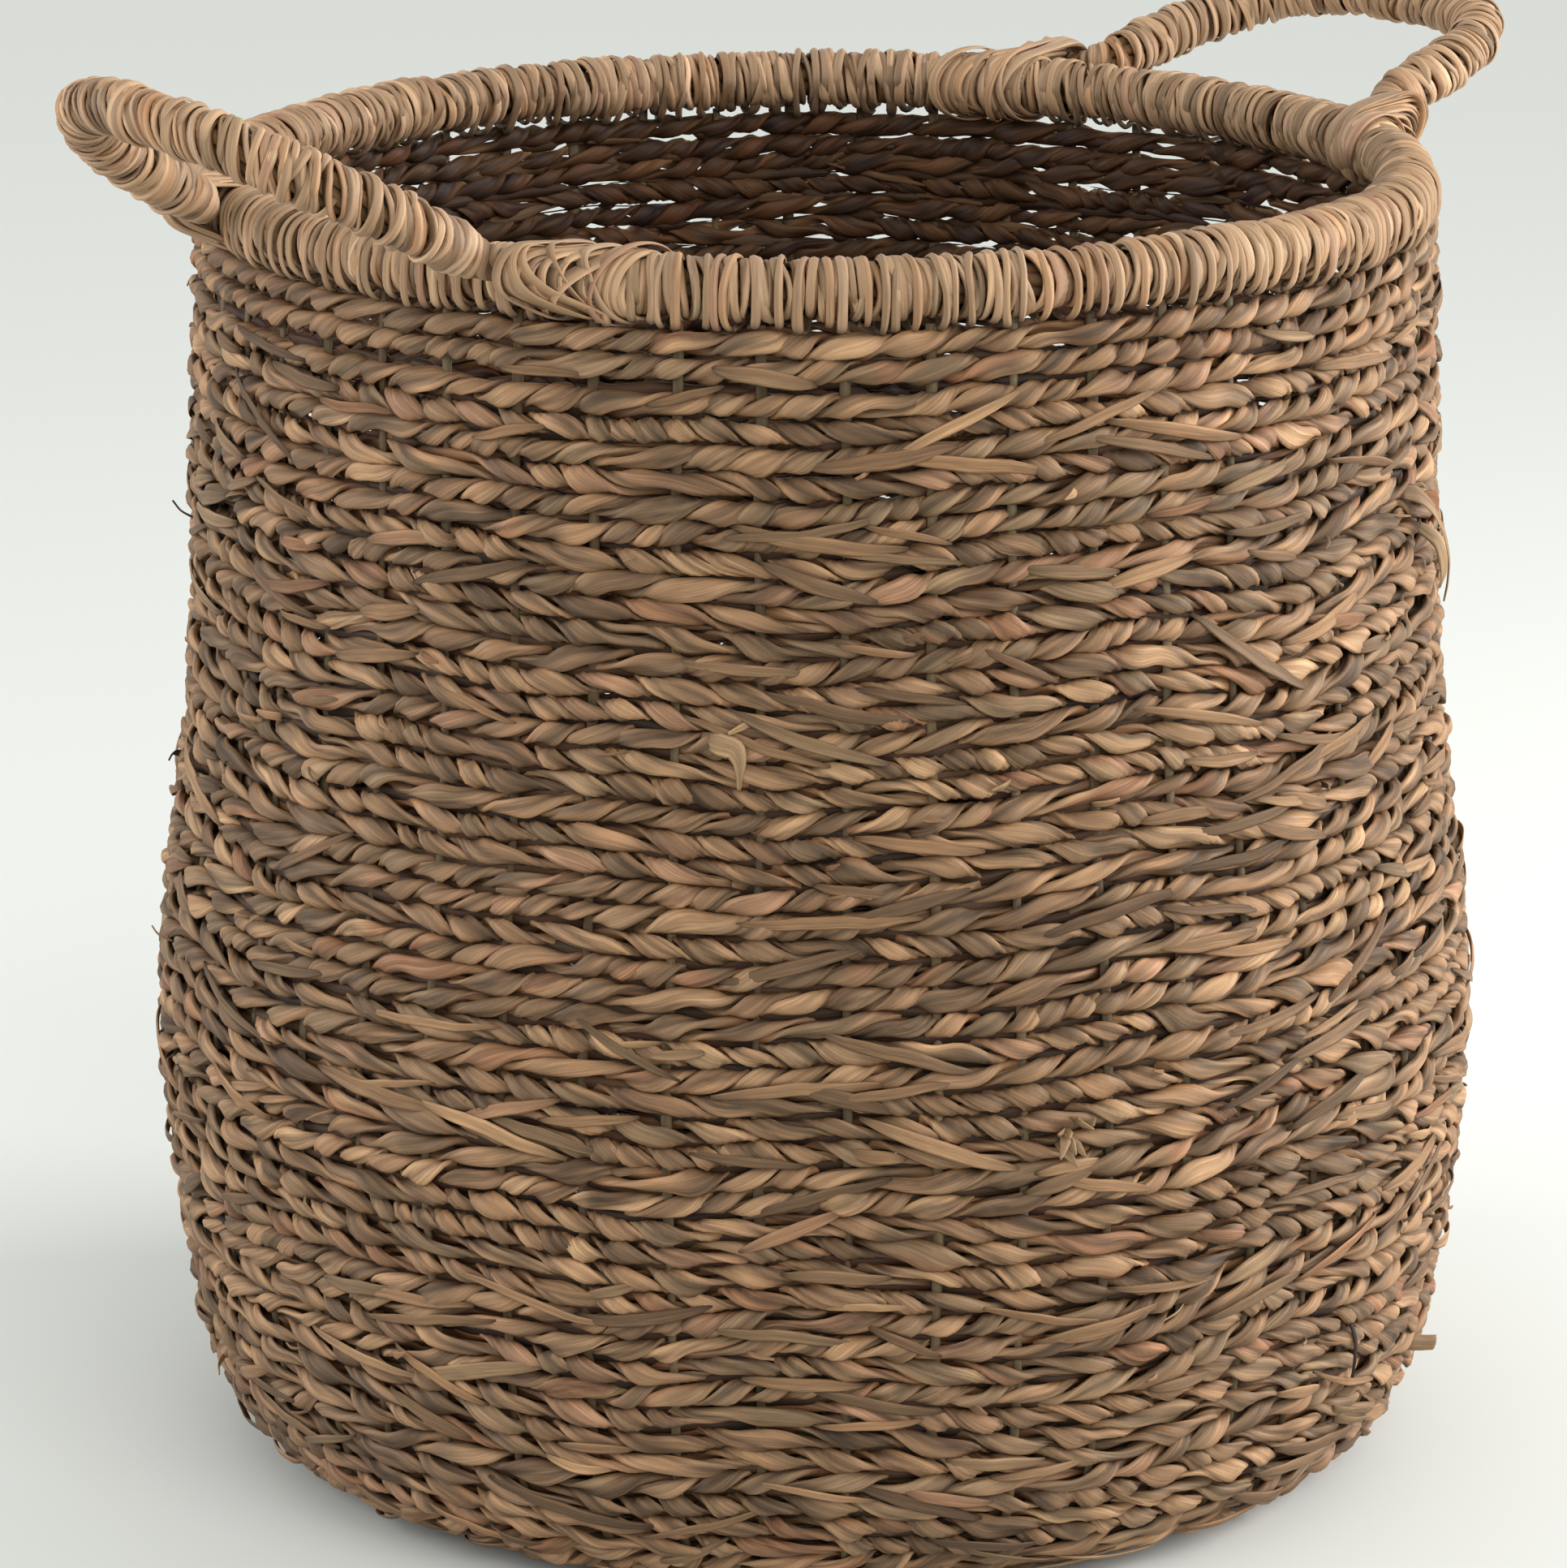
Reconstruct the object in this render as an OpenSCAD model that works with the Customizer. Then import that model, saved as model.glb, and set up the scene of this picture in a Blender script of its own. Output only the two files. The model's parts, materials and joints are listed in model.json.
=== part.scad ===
// Round seagrass storage basket with two loop handles lashed to a wrapped rim.
// Millimetres, +Z up. The origin is the middle of the underside, on the floor.
// +X and -X point at the two handles; Y runs between them.
// The wall is twined: in every course one strand passes outside each upright
// stake and the other passes inside it, so the wall is an outer weave, the
// stakes, and an inner weave. All woven and wrapped pieces are plain closed
// solids with their true outer shape.

/* [Basket body] */
// size of the body across and up, as a factor on the profile below
body_scale = 1; // [0.9:0.05:1.1]
// thickness of one layer of weave
weave_t = 3.4; // [3:0.1:3.6]
// thickness of a stake
stake_t = 3; // [2.6:0.1:3]
// width of a stake
stake_w = 3.2; // [2.4:0.2:4]
// number of stakes, half of them running in to the middle of the base
stake_n = 48; // [40:8:56]

/* [Rim] */
// radius of the circle through the middle of the rim
rim_r = 176; // [174:1:177]
// radius of the wrapped rim
rim_tube = 8.5; // [8:0.5:9]
// thickness of the leaf wrap
wrap_t = 2.3; // [1.8:0.1:2.6]

/* [Handles] */
// half the distance between the two feet of a handle
foot_y = 58; // [56:1:59]
// how far a handle stands out from the line through its feet
handle_reach = 83; // [76:1:92]
// radius of the bend at each outer corner of a handle
handle_bend = 40; // [30:1:44]
// radius of the wrapped handle
handle_tube = 7.8; // [7.2:0.2:8]
// angle of the right handle above the horizontal
lift_right = 14; // [0:1:60]
// angle of the left handle above the horizontal
lift_left = 29; // [0:1:60]

/* [Hidden] */
$fn = 64;
gap = 0.3;
rim_z = 388;
base_flat = 150;
centre_r = 26;
band_t = 2;
// the weave stops below the lashings; the stakes go on up to the rim
wall_top = rim_z - rim_tube - gap - band_t - 0.6;
stake_top = rim_z - rim_tube - gap;

// outer profile of the wall, from the edge of the flat base to just under the rim
wall_out = [[150, 0], [160, 1.5], [170, 6], [178, 13], [184, 22], [188.5, 34],
  [192.2, 50], [196, 76], [199, 102], [200.6, 128], [200.4, 154], [197.6, 180],
  [193.8, 205], [191, 231], [189.4, 256], [188.3, 281], [187.2, 318],
  [186.4, 343], [185.4, 368], [184.8, wall_top]];
pts = [for (p = wall_out) [p[0] * body_scale, p[1]]];
n_pts = len(pts);

function unit(v) = v / norm(v);
// inward normal of the edge that starts at point i
function edge_n(i) = let (d = unit(pts[i + 1] - pts[i])) [-d[1], d[0]];
// point i moved inward by d, keeping the first on its radius and the last on its height
function inset(i, d) =
  i == 0 ? [pts[0][0], d]
  : i == n_pts - 1 ? [pts[i][0] - d, pts[i][1]]
  : let (a = edge_n(i - 1), b = edge_n(i), m = unit(a + b)) pts[i] + m * (d / (m * a));
function layer(d0, d1) = concat([for (i = [0:n_pts - 1]) inset(i, d0)],
  [for (i = [n_pts - 1:-1:0]) inset(i, d1)]);

s0 = weave_t + gap;
s1 = s0 + stake_t;
w0 = s1 + gap;
w1 = w0 + weave_t;

module straw() { color([0.53, 0.42, 0.29]) children(); }
module leaf() { color([0.68, 0.56, 0.40]) children(); }
module cane() { color([0.48, 0.44, 0.36]) children(); }

// ---- base ----
module base_centre() straw() cylinder(r = centre_r, h = w1);

module base_disc(z0, z1) translate([0, 0, z0]) difference() {
  cylinder(r = base_flat * body_scale - 0.3, h = z1 - z0);
  translate([0, 0, -1]) cylinder(r = centre_r + gap, h = z1 - z0 + 2);
}
module base_weave_under() straw() base_disc(0, weave_t);
module base_weave_upper() straw() base_disc(w0, w1);

// ---- stakes: flat strips that lie in the base, turn up and stand in the wall ----
module stake(r_in) rotate([90, 0, 0]) linear_extrude(height = stake_w, center = true)
  polygon(concat([[r_in, s0]], [for (i = [0:n_pts - 1]) inset(i, s0)],
    [[inset(n_pts - 1, s0)[0], stake_top], [inset(n_pts - 1, s1)[0], stake_top]],
    [for (i = [n_pts - 1:-1:0]) inset(i, s1)], [[r_in, s1]]));
module stake_ring(r_in, first) for (i = [0:stake_n / 2 - 1])
  rotate([0, 0, (2 * i + first + 0.5) * 360 / stake_n]) stake(r_in);
module long_stakes() cane() stake_ring(centre_r + 2, 0);
module short_stakes() cane() stake_ring(78, 1);

// ---- wall ----
module wall_weave_outer() straw() rotate_extrude($fn = 96) polygon(layer(0, weave_t));
module wall_weave_inner() straw() rotate_extrude($fn = 96) polygon(layer(w0, w1));

// ---- rim ----
module ring(r) translate([0, 0, rim_z]) rotate_extrude($fn = 96)
  translate([rim_r, 0]) circle(r = r, $fn = 32);
module rim_core() cane() ring(rim_tube - wrap_t - gap);
module rim_wrap() leaf() difference() {
  ring(rim_tube);
  ring(rim_tube - wrap_t);
}

// ---- handles ----
// the hinge line runs along Y, outside the rim and a little above its middle
foot_gap = rim_tube + handle_tube + 0.4;
foot_r = rim_r + foot_gap * cos(20);
axis_x = sqrt(foot_r * foot_r - foot_y * foot_y);
axis_z = rim_z + foot_gap * sin(20);
core_r = handle_tube - wrap_t - gap;
stub_r = 4;
stub_y = foot_y + 19;
leg = handle_reach - handle_bend;
top_y = foot_y - handle_bend;

// places a handle drawn with Y between its feet and X away from the rim
module hung(lift) translate([axis_x, 0, axis_z]) rotate([0, -lift, 0]) children();
module both_sides() { children(); mirror([0, 1, 0]) children(); }

// half of a rod that follows the handle's line: leg, bend and half of the top
module half_rod(r) {
  translate([0, foot_y, 0]) rotate([0, 90, 0]) cylinder(r = r, h = leg + 0.01);
  translate([leg, top_y, 0]) rotate_extrude(angle = 90, $fn = 64)
    translate([handle_bend, 0]) circle(r = r, $fn = 32);
  translate([handle_reach, -0.01, 0]) rotate([-90, 0, 0]) cylinder(r = r, h = top_y + 0.02);
}
module handle_core(lift) hung(lift) both_sides() {
  half_rod(core_r);
  translate([0, foot_y, 0]) sphere(r = core_r, $fn = 32);
  translate([0, foot_y, 0]) rotate([-90, 0, 0]) cylinder(r = stub_r, h = stub_y - foot_y);
}
// half of a sleeve round that rod, closed over the foot by a hollow half ball
module half_sleeve(ro, ri) {
  translate([0, foot_y, 0]) rotate([0, 90, 0]) difference() {
    cylinder(r = ro, h = leg);
    translate([0, 0, -1]) cylinder(r = ri, h = leg + 2);
  }
  translate([leg, top_y, 0]) rotate_extrude(angle = 90, $fn = 64)
    translate([handle_bend, 0]) difference() {
      circle(r = ro, $fn = 32);
      circle(r = ri, $fn = 32);
    }
  translate([handle_reach, 0, 0]) rotate([-90, 0, 0]) difference() {
    cylinder(r = ro, h = top_y);
    translate([0, 0, -1]) cylinder(r = ri, h = top_y + 2);
  }
  translate([0, foot_y, 0]) difference() {
    sphere(r = ro, $fn = 32);
    sphere(r = ri, $fn = 32);
    translate([0, -20, -20]) cube(40);
  }
}
module handle_wrap(lift) hung(lift) difference() {
  both_sides() half_sleeve(handle_tube, core_r + gap);
  both_sides() translate([0, foot_y, 0]) rotate([-90, 0, 0]) cylinder(r = stub_r + gap, h = 20);
}
module handle_core_right() cane() handle_core(lift_right);
module handle_wrap_right() leaf() handle_wrap(lift_right);
module handle_core_left() cane() rotate([0, 0, 180]) handle_core(lift_left);
module handle_wrap_left() leaf() rotate([0, 0, 180]) handle_wrap(lift_left);

// ---- lashings: a band of leaf round the rim and round the end of a handle ----
lash_y0 = foot_y + handle_tube + 0.8;
lash_y1 = stub_y - 1.5;
lash_in = rim_tube + gap;
lash_mid = (lash_y0 + lash_y1) / 2;
lash_a0 = asin(lash_y0 / rim_r);
lash_a1 = asin(lash_y1 / rim_r);
rim_x_lash = sqrt(rim_r * rim_r - lash_mid * lash_mid);
web = [axis_x - rim_x_lash, axis_z - rim_z];
module lashing() difference() {
  union() {
    translate([0, 0, rim_z]) rotate([0, 0, lash_a0]) rotate_extrude(angle = lash_a1 - lash_a0, $fn = 96)
      translate([rim_r, 0]) circle(r = lash_in + band_t, $fn = 32);
    translate([axis_x, lash_y0, axis_z]) rotate([-90, 0, 0]) cylinder(r = stub_r + gap + band_t, h = lash_y1 - lash_y0);
    translate([rim_x_lash, lash_y0 + 0.5, rim_z]) rotate([0, -atan2(web[1], web[0]), 0])
      translate([0, 0, -4.5]) cube([norm(web), lash_y1 - lash_y0 - 1, 9]);
  }
  ring(lash_in);
  translate([axis_x, lash_y0 - 1, axis_z]) rotate([-90, 0, 0]) cylinder(r = stub_r + gap, h = lash_y1 - lash_y0 + 2);
}
module lashing_right_back() leaf() lashing();
module lashing_right_front() leaf() mirror([0, 1, 0]) lashing();
module lashing_left_back() leaf() mirror([1, 0, 0]) lashing();
module lashing_left_front() leaf() rotate([0, 0, 180]) lashing();

base_centre();
base_weave_under();
base_weave_upper();
long_stakes();
short_stakes();
wall_weave_outer();
wall_weave_inner();
rim_core();
rim_wrap();
handle_core_right();
handle_wrap_right();
handle_core_left();
handle_wrap_left();
lashing_right_front();
lashing_right_back();
lashing_left_front();
lashing_left_back();
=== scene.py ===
import json
import math
import bpy
import numpy as np
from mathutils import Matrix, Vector


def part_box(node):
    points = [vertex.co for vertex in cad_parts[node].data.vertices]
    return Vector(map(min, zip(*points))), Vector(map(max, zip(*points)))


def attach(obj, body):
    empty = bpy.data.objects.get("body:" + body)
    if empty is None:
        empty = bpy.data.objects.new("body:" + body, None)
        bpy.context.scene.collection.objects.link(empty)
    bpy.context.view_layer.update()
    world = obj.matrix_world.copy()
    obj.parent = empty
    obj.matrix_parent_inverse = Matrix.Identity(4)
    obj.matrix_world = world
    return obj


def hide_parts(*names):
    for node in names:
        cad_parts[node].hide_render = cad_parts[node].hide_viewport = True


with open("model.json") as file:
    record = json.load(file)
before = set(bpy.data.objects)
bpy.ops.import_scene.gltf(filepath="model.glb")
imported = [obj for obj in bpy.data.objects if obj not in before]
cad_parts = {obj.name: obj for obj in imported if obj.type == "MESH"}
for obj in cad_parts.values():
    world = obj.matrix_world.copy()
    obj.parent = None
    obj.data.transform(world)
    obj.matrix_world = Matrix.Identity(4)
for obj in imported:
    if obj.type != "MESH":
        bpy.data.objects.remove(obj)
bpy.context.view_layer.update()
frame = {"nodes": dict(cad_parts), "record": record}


def as_lists(b):
    return [[float(x) for x in b[0]], [float(x) for x in b[1]]]


TAU = 2 * math.pi
MM = 0.001

# ---------------------------------------------------------------- sizes, from the CAD frame
node_box = {n: as_lists(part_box(n)) for n in frame["nodes"]}
joints = {j["name"]: j for j in frame["record"]["behaviour"]["joints"]}
RIM_BOX = node_box["rim_wrap"]
RIM_R_OUT = RIM_BOX[1][0] / MM
RIM_TUBE = (RIM_BOX[1][2] - RIM_BOX[0][2]) / 2 / MM
RIM_R = RIM_R_OUT - RIM_TUBE
RIM_Z = (RIM_BOX[1][2] + RIM_BOX[0][2]) / 2 / MM
WALL_TOP = node_box["wall_weave_outer"][1][2] / MM
BELLY = node_box["wall_weave_outer"][1][0] / MM
AXIS_X = joints["handle_right_swing"]["pos_m"][0] / MM
AXIS_Z = joints["handle_right_swing"]["pos_m"][2] / MM
LIFTS = {"right": math.radians(14), "left": math.radians(29)}
FOOT_Y = 58.0
REACH = 83.0
STUB_Y = 72.0
HANDLE_TUBE = 7.8
K = BELLY / 200.6

# outer profile of the wall (r, z), as in the CAD
OUT = np.array([[0, 0], [150, 0], [160, 1.5], [170, 6], [178, 13], [184, 22], [188.5, 34],
                [192.2, 50], [196, 76], [199, 102], [200.6, 128], [200.4, 154], [197.6, 180],
                [193.8, 205], [191, 231], [189.4, 256], [188.3, 281], [187.2, 318],
                [186.4, 343], [185.4, 368], [184.8, WALL_TOP]], float)
OUT[:, 0] *= K
THICK = 10.4  # outer face to inner face of the twined wall


def chaikin(p, n=2):
    for _ in range(n):
        q = np.empty((2 * (len(p) - 1) + 2, 2))
        q[0], q[-1] = p[0], p[-1]
        q[1:-1:2] = p[:-1] * 0.75 + p[1:] * 0.25
        q[2:-1:2] = p[:-1] * 0.25 + p[1:] * 0.75
        p = q
    return p


def mid_profile():
    """Middle surface of the wall, as (arc length, r, z, normal r, normal z)."""
    p = chaikin(OUT, 3)
    d = np.gradient(p, axis=0)
    d /= np.linalg.norm(d, axis=1)[:, None]
    inward = np.stack([-d[:, 1], d[:, 0]], 1)
    m = p + inward * THICK / 2
    m[0, 0] = 0
    s = np.concatenate([[0], np.cumsum(np.linalg.norm(np.diff(m, axis=0), axis=1))])
    return s, m[:, 0], m[:, 1], -inward[:, 0], -inward[:, 1]


PS, PR, PZ, PNR, PNZ = mid_profile()
S_TOP = PS[-1]


def at(s):
    """r, z, outward normal (r, z), upward tangent (r, z) of the middle surface at arc length s."""
    r, z = np.interp(s, PS, PR), np.interp(s, PS, PZ)
    nr, nz = np.interp(s, PS, PNR), np.interp(s, PS, PNZ)
    l = np.hypot(nr, nz)
    nr, nz = nr / l, nz / l
    return r, z, nr, nz, -nz, nr


# ---------------------------------------------------------------- noise
def rng(*key):
    return np.random.default_rng([7919, *[int(k) for k in key]])


def ring_noise(theta, g, k0, k1, rough=0.5):
    """Smooth noise round a ring, about -1 to 1."""
    ks = np.arange(k0, k1 + 1)
    a = g.normal(size=len(ks)) * (ks / k0) ** -rough
    a /= math.sqrt((a ** 2).sum() / 2 + 1e-9) * 1.6
    ph = g.uniform(0, TAU, len(ks))
    out = np.zeros_like(theta)
    for k, ak, p in zip(ks, a, ph):
        out += ak * np.cos(k * theta + p)
    return out


def line_noise(x, g, wave, octaves=2):
    """Smooth noise along a line, about -1 to 1, features about wave long."""
    out = np.zeros_like(x)
    amp, tot = 1.0, 0.0
    for o in range(octaves):
        w = wave / 2 ** o
        n = int((x.max() - x.min()) / w) + 6
        v = g.uniform(-1, 1, n)
        t = (x - x.min()) / w + 1
        i = np.floor(t).astype(int)
        f = t - i
        f = f * f * (3 - 2 * f)
        out += amp * (v[i] * (1 - f) + v[i + 1] * f)
        tot += amp
        amp *= 0.5
    return out / tot


def smooth(a, b, x):
    t = np.clip((x - a) / (b - a), 0, 1)
    return t * t * (3 - 2 * t)


BODY_G = rng(1)
BODY_WOBBLE = [(k, BODY_G.normal() * 0.5 / k ** 0.5, BODY_G.uniform(0, TAU), BODY_G.uniform(-0.02, 0.02)) for k in range(2, 9)]
ROW_G = rng(21)
ROW_SHIFT = [(int(ROW_G.integers(4, 17)) * (1 if ROW_G.random() < 0.5 else -1), TAU / ROW_G.uniform(260, 600),
              ROW_G.uniform(0, TAU), ROW_G.uniform(0.5, 1.0)) for _ in range(12)]


def painted_shade_tint(col, tone):
    """Painted shade and light: redder where the painted shade is deep, paler where the strand stands out of it."""
    k = smooth(0.95, 0.35, tone)[..., None]
    return col * (1 + (1 - k) * np.array([0.0, 0.02, 0.08]) + k * np.array([0.06, -0.17, -0.46]))


def body_wobble(theta, s):
    """Slow handmade unevenness of the whole body, in mm outwards."""
    out = np.zeros_like(theta * 1.0)
    for k, a, p, w in BODY_WOBBLE:
        out = out + a * np.cos(k * theta + p + w * s)
    return out * smooth(175, 260, s)


def row_shift(theta, s):
    """How far the courses wander up and down together, in mm along the wall."""
    out = np.zeros_like(theta * 1.0)
    for k, w, p, a in ROW_SHIFT:
        out = out + a * np.cos(k * theta + w * s + p)
    fade = smooth(150, 230, s) * (0.15 + 0.85 * smooth(0, 90, S_TOP - s))
    return out * 0.9 * fade


# ---------------------------------------------------------------- colours (sRGB triples)
def lin(c):
    c = np.asarray(c, float) / 255
    return np.where(c <= 0.04045, c / 12.92, ((c + 0.055) / 1.055) ** 2.4)


WEAVE_TINT = np.array([0.625, 0.548, 0.525])
LEAF_TINT = np.array([0.765, 0.732, 0.78])
STRAW = WEAVE_TINT * lin([[190, 158, 116], [170, 138, 98], [158, 134, 100], [146, 130, 98], [136, 114, 84],
                          [182, 144, 102], [204, 176, 130], [152, 118, 84], [178, 120, 82], [122, 98, 70], [164, 148, 112],
                          [186, 142, 112]])
STRAW_M = STRAW.mean(0)
STRAW_V = (STRAW.mean(1) / STRAW.mean())[:, None] * STRAW_M
STRAW = STRAW_V * 0.6 + STRAW * 0.4
STRAW_W = np.array([20, 20, 16, 13, 12, 14, 9, 10, 6, 7, 8, 5], float)
LEAF = LEAF_TINT * lin([[206, 174, 132], [198, 164, 122], [186, 152, 112], [178, 146, 108], [216, 186, 144],
                        [200, 158, 112], [166, 134, 98], [184, 140, 108]])
LEAF = LEAF.mean(0) + (LEAF - LEAF.mean(0)) * np.array([0.8, 0.66, 0.66])
LEAF_W = np.array([20, 22, 18, 12, 12, 12, 7, 5], float)
STAKE = lin([[150, 140, 118], [138, 126, 104], [156, 142, 116], [128, 112, 90]])


def pick(g, pal, w=None):
    return pal[g.choice(len(pal), p=None if w is None else w / w.sum())]


def runs(length, g, lo, hi, pal, w, soft):
    """A function of distance giving the colour of a strand spliced from successive leaves."""
    cuts, cols = [0.0], [pick(g, pal, w)]
    while cuts[-1] < length:
        cuts.append(cuts[-1] + g.uniform(lo, hi))
        cols.append(pick(g, pal, w))
    cuts, cols = np.array(cuts), np.array(cols)
    cols[-1] = cols[0]

    def colour(s):
        s = np.clip(s, 0, length)
        i = np.clip(np.searchsorted(cuts, s, side="right") - 1, 0, len(cuts) - 2)
        d = np.clip((cuts[i + 1] - s) / soft, 0, 1)[..., None]
        return cols[i] * d + cols[np.minimum(i + 1, len(cols) - 1)] * (1 - d)

    return colour


# ---------------------------------------------------------------- mesh building
class Build:
    """Collects swept grids of one piece. strand = (distance along, share round, seed); OFBake = a flat layout for textures."""

    def __init__(self):
        self.v, self.q, self.c, self.st, self.rows = [], [], [], [], []
        self.n = 0

    def sweep(self, P, col, along, seed, closed=False, caps=True, width=None):
        """P: (n, m, 3) rings of points in mm; col: (n, m, 3); along: (n,) distances in mm."""
        n, m = P.shape[:2]
        base = self.n
        around = np.arange(m) / m
        st = np.zeros((n, m, 3))
        st[..., 0] = along[:, None]
        st[..., 1] = around[None]
        st[..., 2] = seed
        i = np.arange(n if closed else n - 1)
        j = np.arange(m)
        I, J = np.meshgrid(i, j, indexing="ij")
        I2, J2 = (I + 1) % n, (J + 1) % m
        quads = np.stack([I * m + J, I2 * m + J, I2 * m + J2, I * m + J2], -1).reshape(-1, 4) + base
        verts, cols, sts = [P.reshape(-1, 3)], [col.reshape(-1, 3)], [st.reshape(-1, 3)]
        total = n * m
        tris = []
        if not closed and caps:
            for end, r in ((0, P[0]), (1, P[-1])):
                verts.append(r.mean(0)[None])
                cols.append((col[0] if end == 0 else col[-1]).mean(0)[None] * 0.8)
                sts.append(np.array([[along[0] if end == 0 else along[-1], 0.5, seed]]))
                ring = np.arange(m) + (0 if end == 0 else (n - 1) * m) + base
                nxt = np.roll(ring, -1)
                c = np.full(m, total + base)
                tris.append(np.stack([c, ring, nxt] if end == 0 else [c, nxt, ring], -1))
                total += 1
        self.v += verts
        self.c += cols
        self.st += sts
        self.n += total
        perim = float(np.linalg.norm(np.diff(P[::max(1, n // 20)], axis=1), axis=-1).sum(1).mean()) * m / (m - 1)
        step = float(np.linalg.norm((P.mean(1)[1:] - P.mean(1)[:-1]), axis=-1).mean())
        self.rows.append((quads, I.reshape(-1), J.reshape(-1), m, max(perim, 0.2), step, tris))

    def make(self, name, body, nodes, slot_name, material, uv=True):
        V = np.concatenate(self.v) * MM
        C = np.concatenate(self.c)
        ST = np.concatenate(self.st)
        quads = np.concatenate([r[0] for r in self.rows])
        tri_list = [t for r in self.rows for t in r[6]]
        tris = np.concatenate(tri_list) if tri_list else np.zeros((0, 3), int)
        nq, nt = len(quads), len(tris)
        loops = np.concatenate([quads.reshape(-1), tris.reshape(-1)]).astype(np.int32)
        start = np.concatenate([np.arange(nq) * 4, nq * 4 + np.arange(nt) * 3]).astype(np.int32)
        me = bpy.data.meshes.new(name)
        me.vertices.add(len(V))
        me.vertices.foreach_set("co", V.astype(np.float32).reshape(-1))
        me.loops.add(len(loops))
        me.loops.foreach_set("vertex_index", loops)
        me.polygons.add(nq + nt)
        me.polygons.foreach_set("loop_start", start)
        me.polygons.foreach_set("use_smooth", np.ones(nq + nt, bool))
        a = me.attributes.new("tone", "FLOAT_COLOR", "POINT")
        a.data.foreach_set("color", np.concatenate([C, np.ones((len(C), 1))], 1).astype(np.float32).reshape(-1))
        a = me.attributes.new("strand", "FLOAT_VECTOR", "POINT")
        a.data.foreach_set("vector", ST.astype(np.float32).reshape(-1))
        if uv:
            self.layout(me, nq, nt)
        me.update(calc_edges=True)
        me.materials.append(material)
        ob = bpy.data.objects.new(name, me)
        bpy.context.scene.collection.objects.link(ob)
        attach(ob, body)
        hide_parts(*nodes)
        return ob

    def layout(self, me, nq, nt):
        """Each sweep is cut into lengths that lie side by side across a square."""
        area = sum(len(r[1]) / r[3] * r[5] * r[4] for r in self.rows)
        side = math.sqrt(area) * 1.12 + 2
        for _ in range(12):
            y, ok = 0.0, True
            for quads, I, J, m, perim, step, tris in self.rows:
                per = max(1, int((side - 0.6) / step))
                y += (perim + 0.5) * math.ceil((I.max() + 1) / per)
            if y <= side:
                break
            side *= 1.04
        uv = []
        y = 0.0
        uvt = []
        for quads, I, J, m, perim, step, tris in self.rows:
            per = max(1, int((side - 0.6) / step))
            seg = I // per
            x0 = (I - seg * per) * step
            yy = y + seg * (perim + 0.5)
            u0, u1 = x0, x0 + step
            v0, v1 = yy + J / m * perim, yy + (J + 1) / m * perim
            uv.append(np.stack([np.stack([u0, v0], -1), np.stack([u1, v0], -1), np.stack([u1, v1], -1), np.stack([u0, v1], -1)], 1))
            for t in tris:
                k = len(t)
                x = np.full(k, side - 0.45)
                yv = y + np.arange(k) / k * perim
                uvt.append(np.stack([np.stack([x, yv], -1), np.stack([x + 0.3, yv], -1), np.stack([x, yv + perim / k], -1)], 1))
            y += (perim + 0.5) * (seg.max() + 1)
        flat = np.concatenate([np.concatenate(uv).reshape(-1, 2)] + ([np.concatenate(uvt).reshape(-1, 2)] if uvt else []))
        flat = flat / max(side, y)
        layer = me.uv_layers.new(name="OFBake")
        layer.uv.foreach_set("vector", np.clip(flat, 0, 1).astype(np.float32).reshape(-1))


def frames(C, up):
    """Tangents, and two cross directions, of a centre line C (n, 3) with a given first cross direction up (n, 3)."""
    T = np.gradient(C, axis=0)
    T /= np.linalg.norm(T, axis=1)[:, None] + 1e-12
    A = up - T * (up * T).sum(1)[:, None]
    A /= np.linalg.norm(A, axis=1)[:, None] + 1e-12
    B = np.cross(T, A)
    return T, A, B


def strand_section(m, along, g, ra, rb, fold=0.16, lobes=0.10, spin=0.0, creases=2, wide=0.5):
    """Lobed section of a strand of a few folded leaves: (n, m, 2) offsets, and (n, m) crease depth 0..1."""
    al = np.arange(m) / m * TAU
    n = len(along)
    ph = g.uniform(0, TAU, 2 + creases)
    tw = spin * along[:, None]
    r = 1 + lobes * np.cos(2 * al[None] + ph[0] + tw + 0.6 * line_noise(along, g, 30)[:, None]) \
        + lobes * 0.7 * np.cos(3 * al[None] + ph[1] + tw + 0.9 * line_noise(along, g, 22)[:, None])
    crease = np.zeros((n, m))
    for k in range(creases):
        a0 = ph[2 + k] + tw + 0.9 * line_noise(along, g, 24)[:, None]
        d = np.angle(np.exp(1j * (al[None] - a0)))
        crease = np.maximum(crease, np.exp(-(d / wide) ** 2))
    r = r - fold * crease
    X = ra[:, None] * r * np.cos(al)[None]
    Y = rb[:, None] * r * np.sin(al)[None]
    return X, Y, crease


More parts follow.
